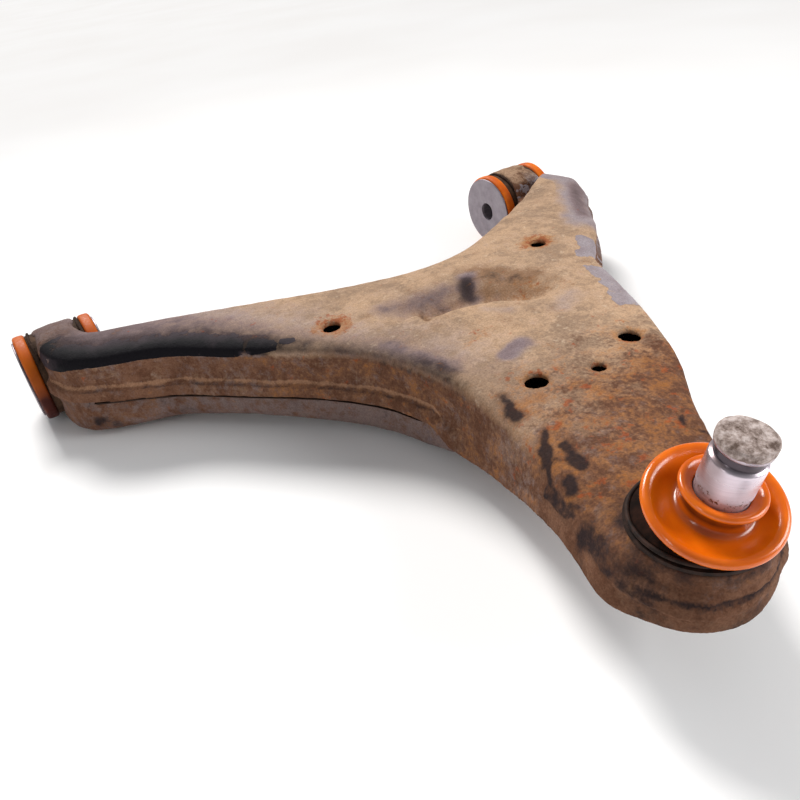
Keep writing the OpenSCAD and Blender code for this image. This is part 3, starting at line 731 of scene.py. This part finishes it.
upperMarks = {
    # x, y, x, y, half width and strength of each smear; dust by y, cool tone by x + y / 2
    "dustY": [-345, -300, -272, -245, -215, -190, -30, -12],
    "dust": [0.12, 0.18, 0.28, 0.5, 0.8, 1.0, 0.9, 0.45],
    "coolAt": [-60, 0, 30, 60, 85], "cool": [1.1, 1.05, 0.8, 0.38, 0.1],
    "coolSmears": [(150, -128, 184, -131, 11, 0.65), (130, -158, 142, -196, 9, 0.8),
                   (141, -208, 145, -222, 5, 0.35), (183, -166, 192, -176, 5, 0.4),
                   (214, -188, 226, -182, 9, 0.4), (199, -128, 191, -141, 7, 1.0),
                   (164, -206, 176, -202.5, 5.5, 1.2)],
    "orangeSmears": [(206, -168, 214, -158, 8, 0.62), (156, -186, 170, -182, 5, 0.7),
                     (226, -166, 232, -176, 6, 0.4), (219, -150, 224, -160, 7, 0.7)],
    "darkSmears": [(141, -257, 135, -264, 2.6, 1.0), (134, -265, 131, -271, 3.2, 1.2),
               (131, -272, 126.5, -277, 1.9, 1.0), (126.5, -277, 121.5, -288, 1.6, 0.8),
               (121, -289, 122.5, -294, 2.0, 0.7), (141, -269, 138.3, -277, 2.8, 0.9),
               (138.3, -277, 137, -281.5, 3.8, 1.15), (128.7, -284, 126, -288.5, 3.3, 1.1),
               (134, -273, 134.5, -274, 2.4, 0.75), (117.5, -302, 114.5, -318, 5, 0.85),
               (114.5, -318, 116, -331, 4.5, 0.8), (142, -236, 139.5, -243, 3.6, 1.0),
               (144, -228, 142, -236, 3.4, 0.7)],
    "hollowShade": [(206, -128, 220, -150, 11, 0.52), (198, -140, 222, -162, 8, 0.36),
                   (166, -139, 190, -142, 4, 0.42), (162, -128, 188, -132, 9, 0.22)],
    "paintSpot": (94.5, -115.2, 97.5, -117.4, 2.7, 1.1),
    "shadeSmears": [(128, -152, 140, -163, 9, 0.42), (160, -206, 180, -202, 10, 0.36),
                    (150, -128, 184, -131, 14, 0.42), (197, -131, 191.5, -140, 7.5, 0.85),
                    (130, -158, 142, -196, 12, 0.42), (141, -208, 146, -226, 9, 0.5),
                    (94, -114.6, 97.5, -117.2, 5, 0.85)],
    "bandS": [2, 3, 4.2, 5, 6.6, 7.1, 7.6], "bandFoot": [13, 14.5, 18.2, 19.2, 19.4, 20.6, 22.5],
    "reachS": [2, 3, 6.0, 7.0, 7.6], "bandReach": [14, 14, 12, 10, 5],
    "shadeAt": [0.5, 5, 8, 12, 20, 36], "shade": [1.05, 1.0, 0.9, 0.72, 0.52, 0.3],
}


def markUpper(piece, f):
    m = upperMarks
    xy, d, s, z, neck = f["xy"], f["d"], f["s"], f["z"], f["neck"]
    x, y = xy[:, 0], xy[:, 1]
    flat = np.column_stack([xy, z])
    top = smoothStep(z, 19, 25.5)
    wave = roughNoise(flat, 18, 51, 3)
    wander = xy + np.stack([2.2 * roughNoise(flat, 7, 52, 3), 2.2 * roughNoise(flat, 7, 53, 3)], 1)
    frontWall = zip(outline["wallPoints"][2:11], outline["wallPoints"][3:12])
    front = np.min([nearLine(xy, p, q) for p, q in frontWall], axis=0)
    # dust lies thick on the top plate and thins out towards the ball joint and down the walls
    dust = np.interp(y, m["dustY"], m["dust"])
    dust -= 0.24 * smoothStep(x, 170, 205) * (1 - smoothStep(y, -262, -225))
    dust = dust * top + (1 - top) * 0.2
    cool = top * np.interp(x + 0.5 * y, m["coolAt"], m["cool"])
    cool *= np.interp(y, [-260, -215, -192], [0.25, 0.4, 1.0])
    cool = np.maximum(cool, 1.2 * overRange(s, 2.2, 7.4, 0.15) * (1 - smoothStep(front, 9, 16))
                      * smoothStep(z, 19, 22))
    cool = np.maximum(cool, 0.3 * (1 - top) * overRange(s, 2.2, 13.0, 0.6))
    cool = np.maximum(cool, top * smears(wander, m["coolSmears"]))
    cool = np.maximum(cool, 0.9 * overRange(s, 30.2, 36.5, 0.4) * smoothStep(d + 5 * wave, -28, -12))
    orange = np.full(len(z), 0.1)
    for hx, hy, r in outline["holes"]:
        # rust halo: wide and strong round the locating holes, narrower with a faint ring round the bolt holes
        ring = np.clip(np.hypot(wander[:, 0] - hx, wander[:, 1] - hy) - r, 0, None)
        wide, strong = (7.5, 1.2) if r == outline["locatingR"] else (4.6, 0.85)
        orange = np.maximum(orange, strong * np.exp(-(ring / wide) ** 2) * top)
        if r == outline["boltR"]:
            orange = np.maximum(orange, 0.5 * bump(ring, 6.5, 3.2) * top)
    orange = np.maximum(orange, top * np.interp(y, [-330, -300, -240, -205], [0.4, 0.66, 0.6, 0.12]))
    orange = np.maximum(orange, top * smears(wander, m["orangeSmears"]))
    orange = np.maximum(orange, (1 - top) * (0.08 + 0.4 * overRange(s, 7.2, 13.0, 0.5)))
    rim = upperForm["crescent"]
    # painted shade along the crescent's crease, then the real stained patches
    darkSmears = [(*rim[k], *rim[k + 1], 2.0, 0.55) for k in range(1, len(rim) - 1)]
    dark = smears(wander, darkSmears + m["darkSmears"])
    # painted shade on the hollow's far slope
    dark = np.maximum(dark, smears(wander, m["hollowShade"]))
    # painted shade along the fillet at the top of the walls, on the neck and where the leg meets it
    dark = np.maximum(dark, neck * bump(z, 22.5, 4.0) * (0.26 + 0.2 * wave))
    dark = np.maximum(dark, overRange(s, 8.0, 11.2, 0.4) * bump(z, 21.5, 3.4) * (0.45 + 0.25 * wave))
    under = overRange(s, 15.2, 21.5, 0.8)
    dark = np.maximum(dark, 0.2 * neck * (1 - top))
    # painted shadow of the boot: a dark ring round it on the top plate and the tip's top darker near it
    dark = np.maximum(dark, (0.62 + 0.3 * wave) * (1 - smoothStep(f["ball"] + 1.5 * wave, 23.4, 27.5))
                      * smoothStep(z, 22.5, 25.5))
    dark = np.maximum(dark, overRange(s, 13.5, 22.5, 0.8) * (0.5 + 0.3 * wave)
                      * (1 - smoothStep(f["ball"], 24, 34)) * smoothStep(z, 20, 25))
    # painted shade over the tip's walls under the boot, darkest in their crease
    dark = np.maximum(dark, under * np.maximum(1.0 * bump(z, 19.6 + 0.5 * wave, 1.2), 0.5 + 0.3 * wave))
    # painted shade on the near side of the blister
    dark = np.maximum(dark, 0.8 * bump(fromBlister(x, y), 6.0, 1.5) * (x + 0.5 * y < 43) * top)
    # a thin painted shadow under the walls' ridge
    dark = np.maximum(dark, 0.6 * bump(z - f["skirt"], 7.6 + 0.8 * wave, 0.9)
                      * overRange(s, 2.5, 10.6, 0.4) * (d > -1))
    leg = overRange(s, 2.0, 7.5, 0.1) * (1 - 0.5 * bump(s, 7.12, 0.07))
    low = np.interp(s, m["bandS"], m["bandFoot"]) - 1.8 * wave
    reach = np.interp(s, m["reachS"], m["bandReach"])
    band = leg * smoothStep(z - low, 0, 1.6) * (1 - 0.45 * smoothStep(front + 4 * wave, 0.4 * reach, reach)
                                                - 0.35 * smoothStep(front, reach, 1.6 * reach))
    paint = band * (1 - (1 - smoothStep(s, 2.7, 4.2)) * (0.25 + 0.5 * smoothStep(wave, -0.25, 0.35)))
    paint = np.maximum(paint, top * smears(xy + 0.5 * (wander - xy), [m["paintSpot"]]))
    ragged = d + 5 * wave + 3 * roughNoise(flat, 5, 58, 2)
    rim = smoothStep(ragged, -12.5, -10) * smoothStep(z + 7 * wave, 12, 19)
    ends = s + 0.22 * roughNoise(flat, 12, 57, 3)
    strip = (overRange(ends, 27.0, 28.45, 0.1) + overRange(ends, 28.85, 29.6, 0.1)) * rim
    paint = np.maximum(paint, strip)
    cool = np.maximum(cool, 1.15 * overRange(ends, 30.4, 33.4, 0.5) * bump(d + 3 * wave, -9, 8))
    paint = np.maximum(paint, 0.45 * (1 - top) * overRange(s, 25, 48, 2))
    # the paint darkens towards the front leg's fillet: partly its own dark tone, partly painted shade where the
    # fillet turns from the light
    shade = np.interp(front + 3 * wave, m["shadeAt"], m["shade"]) * (1 - smoothStep(x + 0.5 * y, 25, 75)) * top
    shade = np.maximum(np.maximum(shade, 0.14), leg * (0.78 + 0.27 * smoothStep(s, 2.7, 4.2)) * (z < 25))
    shade = np.maximum(shade, top * smears(xy, m["shadeSmears"]))
    shade = np.maximum(shade, 0.46 * overRange(s, 30.6, 33.6, 0.6) * bump(d, -8, 7))
    # a worn crest and a painted highlight along the walls' ridge
    wear = 0.75 * bump(z - f["skirt"], 9.4 + 1.2 * wave, 1.0) * overRange(s, 2.5, 10.6, 0.4) * (d > -1)
    dark = np.maximum(dark, strapEdge(x, y))
    # the shell's inside, seen through the holes, drawn dark as painted shade
    inside = (y < -85) & (((z < 23.4) & (d < -4)) | ((z < 20) & (d < -1.6)))
    dark, paint = np.where(inside, 0.8, dark), np.where(inside, 0, paint)
    for name, values in (("dust", dust), ("cool", cool), ("orange", orange), ("dark", dark), ("paint", paint),
                         ("shade", shade), ("wear", wear)):
        setMark(piece, name, values)


upperSkin, places, normals = copiedSkin("upperShellSkin", "upper_shell", upperForm["voxel"],
                                        upperForm["easing"])
places, fields = shapeUpper(places, normals)
setPlaces(upperSkin, places)
markUpper(upperSkin, fields)
upperSkin.data.materials.append(upperSheet)
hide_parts("upper_shell")
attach(upperSkin, "arm")
print("upper shell skin", len(upperSkin.data.polygons), "faces")

lowerForm = {"voxel": 1.4, "easing": 2}
lowerSkin, places, normals = copiedSkin("lowerShellSkin", "lower_shell", lowerForm["voxel"],
                                        lowerForm["easing"])
chord = fieldOf(places[:, :2], chordLoop, 2)[0]
d, s, away = fieldOf(places[:, :2], smoothLoop, 8)
free = wallFree(s) * (1 - smoothStep(np.abs(d), 7, 11))
flat = places.copy()
places[:, :2] += away * ((chord - d) * free)[:, None]
# the part inside the upper shell's skirt is pushed out, which closes the seam to light
hidden = smoothStep(flat[:, 2] - skirtAt(flat[:, 1]), 0.5, 2.0) * (np.abs(d) < 6)
places += normals * (0.2 * roughNoise(flat, 9, 61, 3) + 0.45 * hidden)[:, None]
setPlaces(lowerSkin, places)
wander = flat[:, :2] + np.stack([3 * roughNoise(flat, 8, 54, 3), 3 * roughNoise(flat, 8, 55, 3)], 1)
even = np.ones(len(flat))
cool = np.interp(s + 0.5 * roughNoise(flat, 14, 56, 3), [2, 5, 9, 30, 34], [0.55, 0.7, 1.15, 1.15, 0.4])
oilSpot = smears(wander, [(4, -49, 9, -53, 4.5, 0.8)]) * bump(flat[:, 2], -15, 4)
dark = np.maximum(strapEdge(flat[:, 0], flat[:, 1]), 0.3 + oilSpot)
paint = 0.1 + 0.2 * smoothStep(s, 8, 10) * (1 - smoothStep(s, 30, 34))
for name, values in (("dust", 0.2 * even), ("cool", cool), ("orange", 0.15 * even), ("wear", 0 * even),
                     ("shade", 0.4 * even), ("dark", dark), ("paint", paint)):
    setMark(lowerSkin, name, values)
lowerSkin.data.materials.append(upperSheet)
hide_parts("lower_shell")
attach(lowerSkin, "arm")
print("lower shell skin", len(lowerSkin.data.polygons), "faces")

weldForm = {"radius": 0.8, "pitch": 2.3, "arc": (25, 138), "arcR": 24.6, "frontX": (-13.4, 13.9),
            "rearX": (325.2,)}


def beadAlong(points, radius, seed):
    # a hand-laid bead: a closed tube with overlapping ripples and uneven width
    p = np.array(points, float)
    n, sides = len(p), 10
    tangent = np.gradient(p, axis=0)
    tangent /= np.linalg.norm(tangent, axis=1)[:, None]
    up = np.array([0.31, 0.22, 0.93])
    a = np.cross(tangent, up)
    a /= np.linalg.norm(a, axis=1)[:, None]
    b = np.cross(tangent, a)
    length = np.concatenate([[0], np.cumsum(np.linalg.norm(np.diff(p, axis=0), axis=1))])
    ripple = (length / weldForm["pitch"]) % 1.0
    size = radius * (0.82 + 0.26 * np.sqrt(np.clip(1 - ripple, 0, 1))
                     + 0.18 * softNoise(np.column_stack([length, 0 * length, 0 * length]), 6, seed))
    size[0] = size[-1] = radius * 0.35
    rows = []
    for k in range(n):
        for j in range(sides):
            t = 2 * math.pi * j / sides
            rows.append(p[k] + size[k] * (math.cos(t) * a[k] + math.sin(t) * b[k]))
    faces = [(k * sides + j, k * sides + (j + 1) % sides, (k + 1) * sides + (j + 1) % sides,
              (k + 1) * sides + j)
             for k in range(n - 1) for j in range(sides)]
    faces.append(tuple(range(sides - 1, -1, -1)))
    faces.append(tuple((n - 1) * sides + j for j in range(sides)))
    return rows, faces


def beads(name, paths, node):
    vertices, faces = [], []
    for k, path in enumerate(paths):
        rows, more = beadAlong(path, weldForm["radius"], 70 + k)
        faces += [tuple(i + len(vertices) for i in face) for face in more]
        vertices += rows
    piece = newPiece(name, vertices, faces, weldSteel)
    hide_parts(node)
    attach(piece, "arm")


def eyeArc(x):
    return [(x + 0.25 * math.sin(a / 9.0), weldForm["arcR"] * math.cos(math.radians(a)),
             weldForm["arcR"] * math.sin(math.radians(a)))
            for a in np.arange(*weldForm["arc"], 1.1)]


def backLine(x0, x1):
    return [(x, 26.6 + 0.2 * math.sin(x), -1.1) for x in np.arange(x0, x1, 0.5)]


beads("frontEyeWeldBeads", [eyeArc(x) for x in weldForm["frontX"]] + [backLine(-10, 11)], "front_eye_welds")
beads("rearEyeWeldBeads", [eyeArc(x) for x in weldForm["rearX"]] + [backLine(329, 348)], "rear_eye_welds")
print("weld beads")

bushForm = {"flangeR": 25.5, "spigotR": 20.4, "boreR": 10.1, "inner": 15.1, "outer": 21.85, "round": 2.2,
            "washerR": 24.1, "washerOuterR": 22.4, "washerIn": 22.02, "washerOut": 22.98, "boltR": 6.3,
            "sleeveR": 9.98, "sleeveEnd": 21.98}


def bushHalf(name, x, side, node):
    b = bushForm
    corners = [(b["boreR"], 0.3, 0.3), (b["spigotR"], 0.3, 0.4), (b["spigotR"], b["inner"], 0.0),
               (b["flangeR"] - 0.2, b["inner"], b["round"]), (b["flangeR"], (b["inner"] + b["outer"]) / 2, 0.0),
               (b["flangeR"] - 0.2, b["outer"], b["round"]), (b["boreR"], b["outer"], 0.4)]
    profile = roundedProfile([(r, side * z, k) for r, z, k in corners], 0.5)
    vertices, faces = latheGrid(profile, 128)
    around = np.arctan2(vertices[:, 1], vertices[:, 0])
    size = np.hypot(vertices[:, 0], vertices[:, 1])
    swell = 0.12 * np.sin(3 * around + x) * (size > 21)
    vertices[:, :2] *= (1 - np.abs(swell) / 24)[:, None]
    piece = newPiece(name, axisX(vertices, x), faces, orangeBush)
    # the front bushes are darker all over, every bush is darker low down as painted shade and darker inward of
    # its outer rim: the lathe's x points down on the hinge line
    clean, bottomMark = (0.55, 1.1) if x == 0 else (0.0, 0.3)
    lowDown = smoothStep(vertices[:, 0], -26, 18)
    setMark(piece, "grime", clean + (bottomMark - clean) * lowDown + 0.9 * smoothStep(25.0 - size, 0, 2))
    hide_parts(node)
    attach(piece, "arm")


def turnedSteel(name, x, corners, body, node):
    vertices, faces = latheGrid(roundedProfile(corners, 0.35), 112)
    piece = newPiece(name, axisX(vertices, x), faces, zincSteel)
    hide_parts(node)
    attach(piece, body)


b = bushForm
rearX = outline["rearBushX"]
for name, x, side, node in (("frontBushOuter", 0, -1, "front_bush_outer_half"),
                            ("frontBushInner", 0, 1, "front_bush_inner_half"),
                            ("rearBushInner", rearX, -1, "rear_bush_inner_half"),
                            ("rearBushOuter", rearX, 1, "rear_bush_outer_half")):
    bushHalf(name, x, side, node)
for name, x, body, node in (("frontSleeveTube", 0, "front_sleeve_body", "front_sleeve"),
                            ("rearSleeveTube", rearX, "rear_sleeve_body", "rear_sleeve")):
    turnedSteel(name, x, [(b["boltR"], -b["sleeveEnd"], 0.5), (b["sleeveR"], -b["sleeveEnd"], 0.4),
                          (b["sleeveR"], b["sleeveEnd"], 0.4), (b["boltR"], b["sleeveEnd"], 0.5)], body, node)
for name, x, side, body, node in (("frontWasherOuter", 0, -1, "front_sleeve_body", "front_washer_outer"),
                                  ("frontWasherInner", 0, 1, "front_sleeve_body", "front_washer_inner"),
                                  ("rearWasherInner", rearX, -1, "rear_sleeve_body", "rear_washer_inner"),
                                  ("rearWasherOuter", rearX, 1, "rear_sleeve_body", "rear_washer_outer")):
    low, high = b["washerIn"] * side, b["washerOut"] * side
    rimR = b["washerR" if name == "rearWasherInner" else "washerOuterR"]
    turnedSteel(name, x, [(b["boltR"], low, 0.1), (rimR, low, 0.25), (rimR, high, 0.4),
                          (b["boltR"], high, 0.3)], body, node)
print("bushes, sleeves and washers")

housingForm = {
    # the cup's section as radius, height and rounding: wall, foot flange, boot seat, lip and inner cone
    "turns": 112, "spacing": 0.6,
    "section": [(16.5, -16, 0.3), (20.5, -16, 0.8), (20.5, -12.05, 0.3), (21.7, -12.05, 0.4), (21.7, -8.6, 0.4),
                (20.5, -8.6, 0.2), (20.5, 11.0, 0.2), (19.5, 11.0, 0.1), (19.5, 12.6, 0.1), (18.5, 12.6, 0.1),
                (18.5, 14.8, 0.5), (16.4, 14.8, 0.4), (11.4, 6.6, 0.2), (16.5, 6.6, 0.1)],
}
section = roundedProfile(housingForm["section"], housingForm["spacing"])
vertices, faces = latheGrid(section, housingForm["turns"])
housing = newPiece("ballHousingCup", vertices + ballAt, faces, housingSteel)
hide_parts("ball_housing")
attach(housing, "arm")

bootForm = {
    # the saucer's profile is radius, height and share of the stud's own lean (0 the rim's, 1 the stud's)
    "turns": 120, "rimLift": 0.5, "neckFrom": 22.3,
    # heights between which the saucer bends with the collar, and the skirt above its held foot
    "saucerBend": (21.0, 26.0), "skirtBend": (14.6, 15.25), "skirtSteps": 15, "skirtSag": 0.05,
    "saucer": [(10.35, -2.2, 1), (12.5, -2.6, 0.6), (16.0, -2.3, 0.1), (18.4, -1.9, 0)]
              + [(19.8 + 1.8 * math.cos(math.radians(a)), 1.8 * math.sin(math.radians(a)), 0)
                 for a in range(-75, 106, 12)]
              + [(18.6, 1.5, 0), (17.8, 1.05, 0), (16.9, 0.45, 0.03), (16.0, -0.1, 0.08), (15.0, -0.62, 0.16),
                 (14.0, -0.95, 0.3), (13.0, -1.15, 0.45), (12.0, -1.1, 0.6), (11.2, -0.6, 0.75),
                 (10.85, 0.4, 0.88), (10.85, 1.9, 0.97), (10.95, 3.4, 1), (11.3, 4.5, 1), (12.0, 5.1, 1),
                 (12.7, 5.5, 1), (13.05, 6.1, 1), (13.1, 6.8, 1), (12.8, 7.5, 1), (12.2, 7.85, 1),
                 (11.4, 7.75, 1), (10.6, 7.3, 1), (9.8, 6.7, 1), (9.1, 6.2, 1), (8.65, 5.8, 1), (8.45, 5.3, 1),
                 (8.36, 4.9, 1), (8.36, 4.5, 1), (10.3, 4.45, 1), (10.35, 3.0, 1)],
}


def bootSaucer():
    rows = []
    turns = bootForm["turns"]
    profile = bootForm["saucer"]
    for k in range(turns):
        a = 2 * math.pi * k / turns
        ring = np.array([(r * math.cos(a), r * math.sin(a), z) for r, z, w in profile])
        w = np.array([q[2] for q in profile])[:, None]
        rows.append((1 - w) * onRim(ring + (0, 0, bootForm["rimLift"]))
                    + w * onStud(ring + (0, 0, bootForm["neckFrom"])))
    n = len(profile)
    faces = [(k * n + j, ((k + 1) % turns) * n + j, ((k + 1) % turns) * n + (j + 1) % n, k * n + (j + 1) % n)
             for k in range(turns) for j in range(n)]
    piece = newPiece("dustBootSaucer", np.concatenate(rows), faces, orangeBoot)
    # painted shade in the corner between the neck and the dish, under the collar
    shadowed = [(0.95 * float(bump(z, 2.4, 3.0)) if z > -0.5 else 0.8 * float(bump(r, 11.5, 2.6)))
                * (10.8 < r < 16) * (z < 6) for r, z, w in profile]
    setMark(piece, "grime", np.tile(shadowed, turns))
    finer = piece.modifiers.new("finer", "SUBSURF")
    finer.levels = finer.render_levels = 1
    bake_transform(piece)


def bootSkirt():
    rows = []
    turns, steps, sag = bootForm["turns"], bootForm["skirtSteps"], bootForm["skirtSag"]
    for k in range(turns):
        a = 2 * math.pi * k / turns
        ray = np.array([math.cos(a), math.sin(a), 0])
        at = lambda r, z: ray * r + (0, 0, z) + ballAt
        rim = lambda r, z: onRim([ray * r + (0, 0, z)])[0]
        path = [at(18.62, 13.0), at(18.62, 12.8), at(20.3, 12.8), at(20.45, 13.0), at(20.45, 14.2)]
        low, high = at(20.0, 14.58), rim(15.6, -2.0)
        tall = np.linalg.norm(high - low)
        for t in np.linspace(0, 1, steps):
            path.append(low + (high - low) * t - ray * sag * tall * math.sin(math.pi * t))
        innerLow, innerHigh = at(18.62, 14.55), rim(13.6, -2.2)
        for t in np.linspace(1, 0, steps):
            path.append(innerLow + (innerHigh - innerLow) * t - ray * sag * tall * math.sin(math.pi * t))
        rows.append(np.array(path))
    n = len(rows[0])
    faces = [(k * n + j, ((k + 1) % turns) * n + j, ((k + 1) % turns) * n + (j + 1) % n, k * n + (j + 1) % n)
             for k in range(turns) for j in range(n)]
    piece = newPiece("dustBootSkirt", np.concatenate(rows), faces, shadeDarkBoot)
    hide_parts("dust_boot")
    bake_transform(piece)


bootSkirt()
bootSaucer()
print("dust boot")

studForm = {
    "ballR": 12.5, "top": 51.5, "turns": 128, "rowMm": 0.7,
    # radius and height above the ball's centre: neck, seal seat, shank, ring groove and head
    "profile": [(6.3, 12.4), (6.3, 16.5), (8.2, 23.0), (8.2, 30.3), (8.5, 30.8), (8.5, 42.2), (8.42, 42.7),
                (8.2, 43.0), (7.5, 43.25), (7.05, 43.7), (6.9, 44.4), (6.9, 46.0), (7.05, 46.7), (7.6, 47.1),
                (8.3, 47.35), (8.5, 47.8), (8.52, 49.0), (8.5, 50.2), (8.3, 51.0), (7.8, 51.4), (6.5, 51.5)],
    "sideLumps": 0.55, "crownLumps": 0.5, "crownWear": 0.35,
}


def ballStud():
    f = studForm
    turns, top = f["turns"], f["top"]
    ball = [(f["ballR"] * math.cos(math.radians(a)), f["ballR"] * math.sin(math.radians(a)))
            for a in np.linspace(-68, 59.7, 30)]
    fine = []
    path = [(0.02, ball[0][1])] + ball + f["profile"]
    for p0, p1 in zip(path[:-1], path[1:]):
        count = max(1, int(math.dist(p0, p1) / f["rowMm"]))
        fine += [(p0[0] + (p1[0] - p0[0]) * k / count, p0[1] + (p1[1] - p0[1]) * k / count)
                 for k in range(count)]
    fine += [(r, top) for r in np.arange(6.5, 0.5, -0.6)] + [(0.02, top)]
    vertices, faces = latheGrid(fine, turns, closed=False)
    n = len(fine)
    faces += [tuple(k * n for k in range(turns))[::-1], tuple(k * n + n - 1 for k in range(turns))]
    z, r = vertices[:, 2], np.hypot(vertices[:, 0], vertices[:, 1])
    head = smoothStep(z, 47.2, 49.5)
    out = vertices.copy()
    out[:, 2] = 0
    out /= np.maximum(r, 1e-6)[:, None]
    lumps = f["sideLumps"] * roughNoise(vertices, 5.5, 81, 3) * head * smoothStep(r, 1, 4)
    moved = vertices + out * lumps[:, None]
    battered = f["crownLumps"] * roughNoise(vertices, 3.4, 91, 3) - f["crownWear"] * smoothStep(r, 5, 8.4)
    moved[:, 2] += battered * smoothStep(z, 50.5, 51.4)
    piece = newPiece("ballStudTurned", onStud(moved), faces, studSteel)
    setMark(piece, "crown", smoothStep(z, 47.6, 49.0) * 0.75 + 0.25 * smoothStep(z, 50.8, 51.3))
    setMark(piece, "groove", smoothStep(z, 42.8, 43.6) * (1 - smoothStep(z, 47.2, 48.4)))
    setMark(piece, "foot", 0.85 * bump(z, 30.5, 3.6))
    # a painted brown reflection on the side towards the arm
    lean = (vertices[:, :2] @ np.array([-0.84, 0.54])) / np.maximum(r, 1e-6)
    reflectionShare = 0.5 * smoothStep(lean + 0.1 * softNoise(vertices, 3, 95), 0.5, 0.95)
    setMark(piece, "tarnish", reflectionShare * (r > 7.4) * smoothStep(-z, -50, -42))
    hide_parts("ball_stud")
    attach(piece, "stud_body")


ballStud()
print("ball stud")

for names, material in (
        (("front_eye_tube", "rear_eye_tube"), tubeSteel),
        (("front_side_seam", "rear_side_seam", "hinge_side_seam"), weldSteel),
        (("bottom_cover",), housingSteel),
        (("housing_circlip", "boot_clamp_ring"), springSteel),
        (("upper_ball_seat", "lower_ball_seat"), seatPlastic),
        (("boot_collar_ring",), zincSteel)):
    for nodeName in names:
        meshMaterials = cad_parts[nodeName].data.materials
        meshMaterials.clear()
        meshMaterials.append(material)
print("packed parts dressed")

# the camera stands at a place in millimetres; the board under the part is in metres
view = {"from": (-8.1, -428.4, 198.5), "forward": (0.383, 0.735, -0.559), "up": (0.390, 0.420, 0.819),
        "lens": 32.66, "sensor": 36.0, "near": 0.01, "far": 50, "floorZ": -0.0275, "floorReach": 8}
lamps = {
    # places and sizes in metres, the sun's spread in degrees
    "sunFrom": (0.1, 0.74, 0.74), "sunStrength": 2.9, "sunSpread": 22, "sunTint": (1.0, 0.975, 0.95),
    "airStrength": 0.28, "airTint": (0.95, 0.97, 1.0),
    "stripPlace": (-0.55, -0.35, 0.3), "stripAim": (0.142, -0.327, 0.04), "stripSize": (0.06, 0.35),
    "stripWatts": 0.7,
    "fillPlace": (0.62, -0.72, 0.34), "fillAim": (0.142, -0.327, 0.04), "fillSize": (0.35, 0.35),
    "fillWatts": 4.0,
    "backPlace": (0.05, 0.55, 0.62), "backAim": (0.142, -0.327, 0.04), "backSize": (0.5, 0.12),
    "backWatts": 1.2,
}

forward = Vector(view["forward"]).normalized()
right = forward.cross(Vector(view["up"])).normalized()
up = right.cross(forward)
cameraData = bpy.data.cameras.new("camera")
cameraData.lens = view["lens"]
cameraData.sensor_width = view["sensor"]
cameraData.clip_start, cameraData.clip_end = view["near"], view["far"]
cameraData.dof.use_dof = False
camera = bpy.data.objects.new("camera", cameraData)
turned = Matrix((right, up, -forward)).transposed().to_4x4()
camera.matrix_world = Matrix.Translation(Vector(view["from"]) * mm) @ turned
scene.collection.objects.link(camera)
scene.camera = camera

# Painted studio board: a smooth pale surface with the faintest mottling.
boardMaterial, boardTree, boardShader, boardPlace = newMaterial("studioBoardPainted")
cloud = addNode(boardTree, "ShaderNodeTexNoise", {"Scale": perMm(300), "Detail": 2},
                {"Vector": boardPlace}).outputs["Fac"]
boardTone = addNode(boardTree, "ShaderNodeValToRGB",
                    {"ramp": [(0.3, toLinear("#fbfaf9")), (0.7, toLinear("#ffffff"))]}, {0: cloud})
boardTree.links.new(boardTone.outputs[0], boardShader.inputs["Base Color"])
boardShader.inputs["Roughness"].default_value = 0.9
floorMesh = bpy.data.meshes.new("studioFloor")
reach, floorZ = view["floorReach"], view["floorZ"]
floorMesh.from_pydata([(-reach, -reach, floorZ), (reach, -reach, floorZ), (reach, reach, floorZ),
                       (-reach, reach, floorZ)], [], [(0, 1, 2, 3)])
floorMesh.materials.append(boardMaterial)
studioFloor = bpy.data.objects.new("studioFloor", floorMesh)
scene.collection.objects.link(studioFloor)

sunData = bpy.data.lights.new("windowLight", "SUN")
sunData.energy = lamps["sunStrength"]
sunData.angle = math.radians(lamps["sunSpread"])
sunData.color = lamps["sunTint"]
sunLamp = bpy.data.objects.new("windowLight", sunData)
sunLamp.rotation_euler = Vector(lamps["sunFrom"]).to_track_quat("Z", "Y").to_euler()
scene.collection.objects.link(sunLamp)
for kind in ("strip", "fill", "back"):
    lampData = bpy.data.lights.new(kind + "Lamp", "AREA")
    lampData.shape = "RECTANGLE"
    lampData.size, lampData.size_y = lamps[kind + "Size"]
    lampData.energy = lamps[kind + "Watts"]
    lamp = bpy.data.objects.new(kind + "Lamp", lampData)
    lamp.location = lamps[kind + "Place"]
    lamp.rotation_euler = (Vector(lamps[kind + "Aim"])
                           - Vector(lamps[kind + "Place"])).to_track_quat("-Z", "Y").to_euler()
    scene.collection.objects.link(lamp)

world = bpy.data.worlds.new("studioAir")
world.use_nodes = True
world.node_tree.nodes["Background"].inputs[0].default_value = (*lamps["airTint"], 1)
world.node_tree.nodes["Background"].inputs[1].default_value = lamps["airStrength"]
scene.world = world
scene.view_settings.view_transform = "Standard"
print("camera, floor and light")
